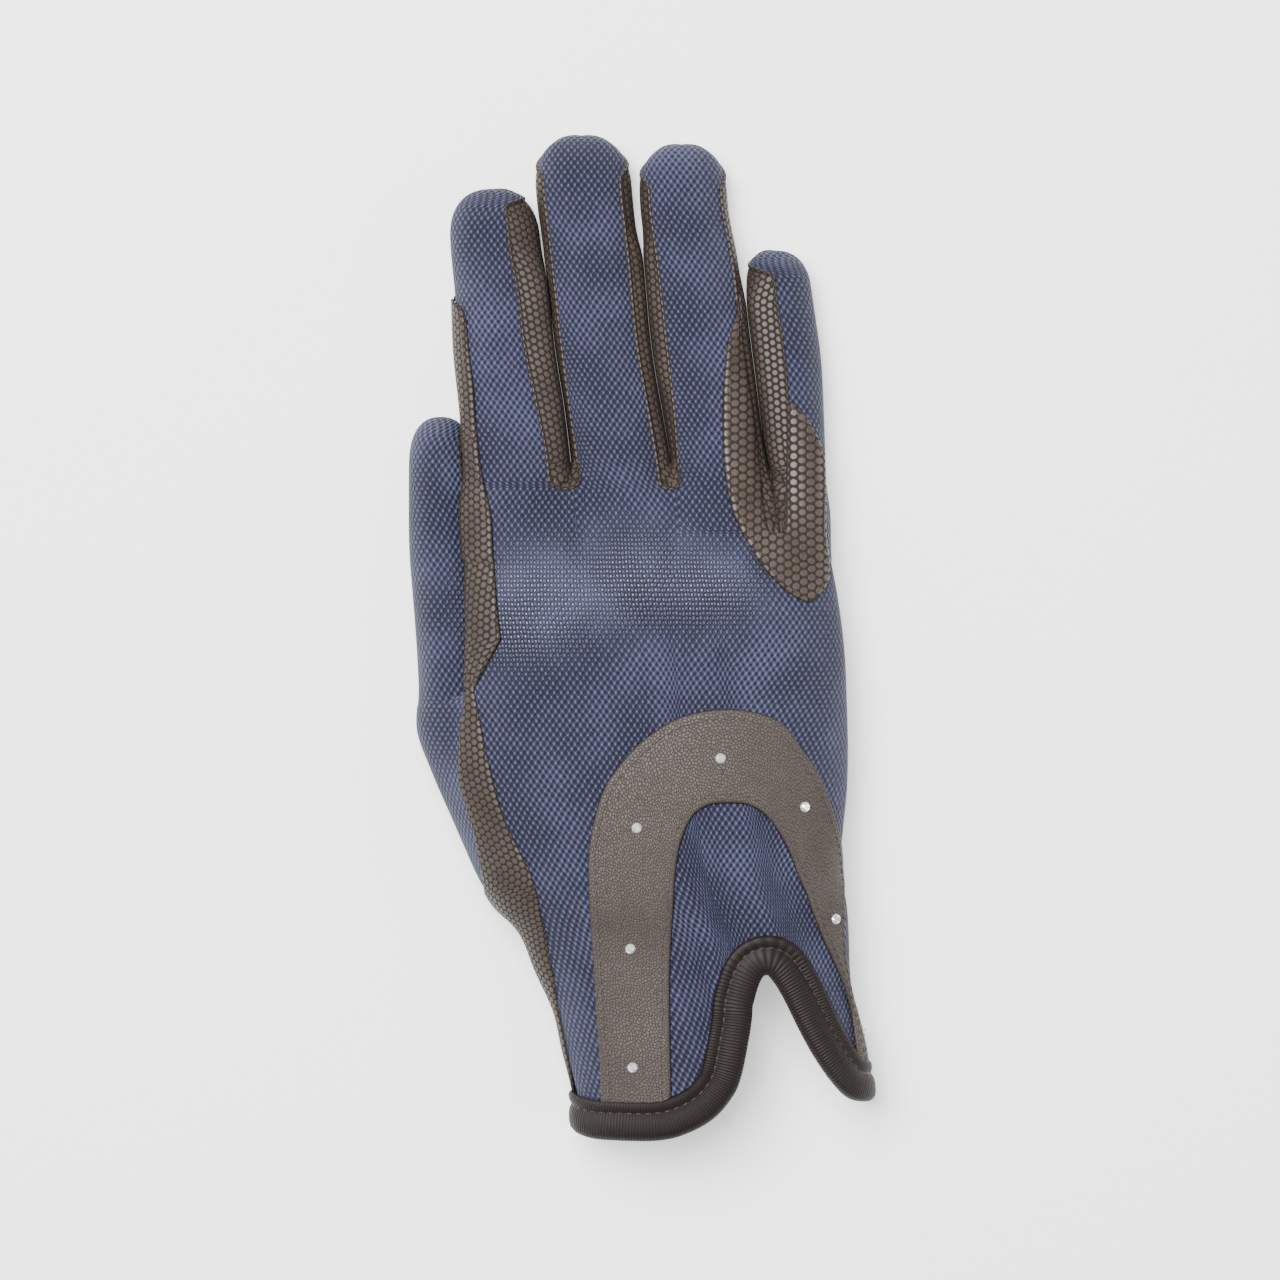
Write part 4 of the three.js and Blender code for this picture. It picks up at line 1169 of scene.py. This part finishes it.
def patch_side(name, side, places, outer_x):
    """One side of the patch: from its outline to the slit's seam on a finger."""
    inner_turn = top_seam_angle(name, places, side)[0]
    outer_turn = turn_to(name, np.minimum(outer_x, patch_limit(places)), places)
    if side > 0:
        outer_turn = np.maximum(outer_turn, inner_turn + 0.04)
    else:
        outer_turn = np.minimum(outer_turn, inner_turn - 0.05)
    return finger_points(name, places, mix(outer_turn[:, None], inner_turn[:, None], edge_spread(24)))


foot = foot_y + (slit_y - foot_y) * np.sin(np.linspace(0, np.pi / 2, 34)) ** 1.5
foot_right = np.minimum(patch_right(foot), patch_limit(foot))
foot_x = mix(patch_left(foot)[:, None], foot_right[:, None], edge_spread(46))
foot_grid = from_above(foot_x, np.broadcast_to(foot[:, None], foot_x.shape))
first = slit_y + 2.4 * (1 - np.cos(np.linspace(0, np.pi / 2, 10)))
ring_y = np.concatenate([first, np.linspace(first[-1], tip_y, 80)[1:]])
little_y = np.concatenate([first, np.linspace(first[-1], top_y, 50)[1:]])
ring_grid = patch_side("ring", 1, ring_y, patch_left(ring_y))
little_grid = patch_side("little", -1, little_y, patch_right(little_y))[:, ::-1]
leaf = {"foot": foot_grid, "ring": ring_grid, "little": little_grid}
raised = [lay(grid, 0.95, 0.7, (part == "foot", part != "foot")) for part, grid in leaf.items()]
flat_maps = [grid[..., :2] for grid in leaf.values()]
patch = make("rein_patch", raised, grip_large, flat_maps)
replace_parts(wall(patch, 0.6), "rein_patch")

# %% The horseshoe
outer = [
    (602, 1099), (601, 1060), (598, 1020), (594, 960), (590, 900), (589, 860), (592, 830), (603, 790),
    (620, 763), (644, 738), (680, 716), (728, 708), (775, 719), (800, 748), (817, 775), (829, 806),
    (837, 835), (840, 870), (841, 905), (841, 945), (845, 975), (851, 1000), (858, 1022), (864, 1045),
    (874, 1085),
]
inner = [
    (671, 1099), (671, 1070), (670, 1020), (670, 960), (673, 905), (675, 870), (680, 840), (689, 818),
    (698, 808), (711, 802), (731, 801), (747, 803), (762, 812), (775, 828), (787, 850), (795, 872),
    (804, 892), (811, 912), (820, 935), (829, 955), (838, 975), (845, 995), (850, 1015), (854, 1045),
    (860, 1085),
]


def along_run(points, run, places):
    """Points at these distances along a path whose own points lie at the distances in run."""
    return np.stack([np.interp(places, run, column) for column in points.T], -1)


def even(points, count):
    """Points at even distances along a smooth curve through the given ones."""
    path = np.stack([fine(column, 900) for column in np.array([plan(*p) for p in points]).T], -1)
    run = run_lengths(path)
    return along_run(path, run, np.linspace(0, run[-1], count))


shoe_plan = mix(even(outer, 240)[:, None], even(inner, 240)[:, None], edge_spread(30)[:, None])
shoe_grid = on_back(shoe_plan)
horseshoe = make("horseshoe", [lay(shoe_grid, 1.1, 0.8, (False, False))], nappa)
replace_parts(wall(horseshoe, 0.8), "horseshoe")

# %% [markdown]
# ## The bound cuff
# The tape is folded over the raw edge and sewn through. Its profile, a thin lip, a line of stitching in a
# groove and a fat roll round the edge, is carried along the edge.

# %% Binding
# Each point of the profile: how far in from the glove's edge, and how high over the surface
PROFILE = np.array([
    (7.6, 0.35), (7.7, 0.80), (7.3, 1.05), (6.4, 1.05), (5.6, 0.75), (5.2, 0.62), (4.7, 0.80), (3.9, 1.25),
    (2.6, 1.45), (1.2, 1.45), (0.1, 1.25), (-0.6, 0.7), (-0.9, -0.1), (-0.9, -1.0), (-0.2, -1.9), (1.0, -2.3),
    (3.0, -2.3), (5.0, -2.1), (6.5, -1.9), (6.6, -1.5),
])
GROOVE = 5.2


def edge_path(side, count):
    """The cuff's edge on the surface: directions from one palm seam to the other, y from the outline."""
    left, right = (seam_turn(CUFF_LEFT, s) for s in (-1, 1))
    angle = spread_angles(left if side == "back" else left - 2 * np.pi, right, 1600)
    y = np.full(angle.shape, -106.0)
    for _ in range(10):
        y = mix(y, cuff_at(side, hand_points(y, angle)[..., 0]), 0.6)
    points = hand_points(y, angle)
    run = run_lengths(points)
    return along_run(points, run, np.linspace(0, run[-1], count))


def soften(points, rounds):
    """Averages each point of a path with its neighbours, its ends kept."""
    for _ in range(rounds):
        points[1:-1] = (points[:-2] + 2 * points[1:-1] + points[2:]) / 4
    return points


def bound(side, count=420):
    """The tape's grid along one side of the cuff, the path of the edge and the directions inwards from it."""
    path = soften(edge_path(side, count), 6)
    tangent = unit(soften(np.gradient(path, axis=0), 20))
    inward = np.cross(soften(outward(path), 10), tangent)
    inward = unit(inward * np.sign(inward[:, 1:2].mean()))
    reach, height = PROFILE[:, :1], PROFILE[:, 1:]
    on = settle(path[:, None] + inward[:, None] * np.maximum(reach, 0))
    return on + outward(on) * height + inward[:, None] * np.minimum(reach, 0), path, inward


for side in ("back", "palm"):
    grid, path, inward = bound(side)
    widths = run_lengths(grid, 1)
    chart = np.stack([widths, np.broadcast_to(run_lengths(path)[:, None], widths.shape)], -1)
    tape = make("cuff_binding_" + side, [grid], tape_cloth, [chart], flip=side == "back")
    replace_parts(wall(tape, 0.35), "cuff_binding_" + side)
    if side == "back":
        tape_stitch = settle(path + inward * GROOVE)

# %% [markdown]
# ## Stitches, seams and crystals
# Each stitch is a short rounded rod that dips at its ends. It is worked out once and copied along its seam.

# %% Stitches


def turned_by(local, side, ahead, up):
    """Points given by their parts along three directions."""
    return local[..., 0:1] * side + local[..., 1:2] * ahead + local[..., 2:3] * up


def stitches(name, paths, rise, pitch=2.1, length=1.55, radius=0.24):
    """Rows of stitches along paths on the surface. A rod's radius is its middle's times the root of sine."""
    t = np.linspace(0, np.pi, 7)
    turn = np.linspace(0, 2 * np.pi, 7)[:-1]
    girth = (radius * np.sqrt(np.clip(np.sin(t), 0.02, 1)))[:, None]
    dip = (np.sin(t) * 0.16 - 0.1)[:, None]
    rod = np.stack(np.broadcast_arrays(
        (-np.cos(t) * length / 2)[:, None], girth * np.cos(turn), girth * np.sin(turn) + dip), -1)
    grids = []
    for path in paths:
        run = run_lengths(path)
        places = np.arange(pitch / 2, run[-1], pitch)
        middle = along_run(path, run, places)
        ahead = unit(along_run(path, run, places + 0.2) - middle)
        up = outward(middle)
        turned = turned_by(rod[None], *(v[:, None, None] for v in (ahead, np.cross(up, ahead), up)))
        grids += list((middle + up * rise)[:, None, None] + turned)
    return make(name, grids, thread, around=True)


def inset_line(grid, distance, from_start=True):
    """A line at a distance in from one side of a layer's grid."""
    run = run_lengths(grid, 1)
    run = run if from_start else run[:, -1:] - run
    order = np.argmin(np.abs(run - distance), 1)
    return soften(grid[np.arange(len(grid)), order].copy(), 6)


def seam_cord(name, paths, radius=0.42, rise=0.1):
    """A thin rolled edge along seams: a round tube on each path, thinner at its ends."""
    grids = []
    turn = np.linspace(0, 2 * np.pi, 9)[:-1, None]
    for path in paths:
        up = outward(path)
        beside = unit(np.cross(up, unit(np.gradient(path, axis=0))))
        from_end = np.minimum(np.arange(len(path)), np.arange(len(path))[::-1])
        taper = np.clip(from_end / 3 + 0.15, 0, 1)[:, None, None]
        ring = (np.cos(turn) * beside[:, None] + np.sin(turn) * up[:, None]) * radius * taper
        grids.append(path[:, None] + up[:, None] * rise + ring)
    return make(name, grids, grip, around=True)


patch_foot = foot_grid[5:]
patch_rows = [inset_line(ring_grid, 1.4), inset_line(little_grid, 1.4, False), inset_line(patch_foot, 1.4),
              inset_line(patch_foot, 1.4, False)]
stitches("horseshoe_stitches", [inset_line(shoe_grid, 2.1), inset_line(shoe_grid, 2.1, False)], 1.05)
stitches("patch_stitches", patch_rows, 0.95, 1.9, 1.35, 0.2)
stitches("strip_stitches", [inset_line(index_grid[:-6], 1.3)], 1.0, 1.9, 1.35, 0.2)
stitches("cuff_stitches", [tape_stitch], 0.8, 2.2, 1.7, 0.22)
seam_cord("slit_edges", [np.ascontiguousarray(grid[:, 0]) for grid in linings.values()])

# %% Crystals
# Places in the photograph, the last one beside the side of the hand
CRYSTALS = [(719, 757), (637, 825), (801, 805), (631, 944), (831, 917), (634, 1062), (860, 1032)]
SEAT_RISE = 1.05
# Rings of a stone: radius, height, and turn in steps of the ring
levels = [(0.0, -0.1, 0), (1.15, -0.1, 0), (1.2, 0.35, 0), (0.95, 0.75, 0.5), (0.62, 1.0, 0), (0.0, 1.02, 0)]
ring = np.linspace(0, 2 * np.pi, 17)[:-1]
gem = np.stack([
    np.stack([r * np.cos(ring + s * ring[1]), r * np.sin(ring + s * ring[1]), 0 * ring + h], -1)
    for r, h, s in levels
])
for number, place in enumerate(CRYSTALS, 1):
    seat = on_back(np.array([plan(*place)]))
    up = outward(seat)[0]
    side = unit(np.cross((0, 1, 0), up))
    points = seat[0] + up * SEAT_RISE + turned_by(gem, side, np.cross(up, side), up)
    stone = make(f"crystal_{number}", [points], glass, around=True)
    stone.data.shade_flat()
    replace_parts(stone, f"crystal_{number}")

# %% Floor, light and camera
FLOOR_REACH, FLOOR_LOW = 2, -0.0004
corners = [(x * FLOOR_REACH, y * FLOOR_REACH, FLOOR_LOW) for x, y in ((-1, -1), (1, -1), (1, 1), (-1, 1))]
floor_mesh = bpy.data.meshes.new("floor")
floor_mesh.from_pydata(corners, [], [(0, 1, 2, 3)])
put("floor", floor_mesh)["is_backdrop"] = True
paper, tree, surface = material("matt_white_paper", Roughness=0.9, Specular_IOR_Level=0.2,
                                Emission_Strength=0.6)
surface.inputs["Base Color"].default_value = colour(0xFAFAF8)
surface.inputs["Emission Color"].default_value = colour(0xFFFFFF)
floor_mesh.materials.append(paper)


def lamp(name, place, aim, size, watts):
    """A square soft light of this size in metres, turned from its place towards its aim."""
    data = bpy.data.lights.new(name, "AREA")
    data.size, data.energy = size, watts
    light = put(name, data)
    light.location = place
    light.rotation_euler = (Vector(aim) - Vector(place)).to_track_quat("-Z", "Y").to_euler()


lamp("softbox_above", (-0.30, 0.35, 1.2), (0, 0, 0), 0.75, 50)
lamp("softbox_left", (-1.1, 0.2, 0.6), (0, 0, 0.01), 0.7, 1)
lamp("softbox_right", (1.0, -0.2, 0.9), (0, 0, 0.01), 0.7, 5)
world = bpy.data.worlds.new("studio")
bpy.context.scene.world = world
world.use_nodes = True
world.node_tree.nodes["Background"].inputs["Color"].default_value = (1, 1, 1, 1)
world.node_tree.nodes["Background"].inputs["Strength"].default_value = 0.42

# The camera looks straight down. At the height of the glove's middle, one pixel of the photo is 0.23 mm.
CAMERA_HEIGHT, SHARP_HEIGHT, SENSOR, PHOTO_SIDE = 1.0, 0.015, 36, 1280
camera_data = bpy.data.cameras.new("camera")
camera_data.sensor_width = SENSOR
camera_data.lens = SENSOR * (CAMERA_HEIGHT - SHARP_HEIGHT) / (PHOTO_SIDE * SCALE * MM)
camera = put("camera", camera_data)
centre_x, centre_y = plan(PHOTO_SIDE / 2, PHOTO_SIDE / 2)
camera.location = (centre_x * MM, centre_y * MM, CAMERA_HEIGHT)
bpy.context.scene.camera = camera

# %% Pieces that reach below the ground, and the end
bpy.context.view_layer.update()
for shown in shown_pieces():
    low = min((shown.matrix_world @ Vector(c)).z for c in shown.bound_box)
    if low < -0.0002:
        print(shown.name, "reaches below the ground by", round(-low * 1000, 2), "mm")
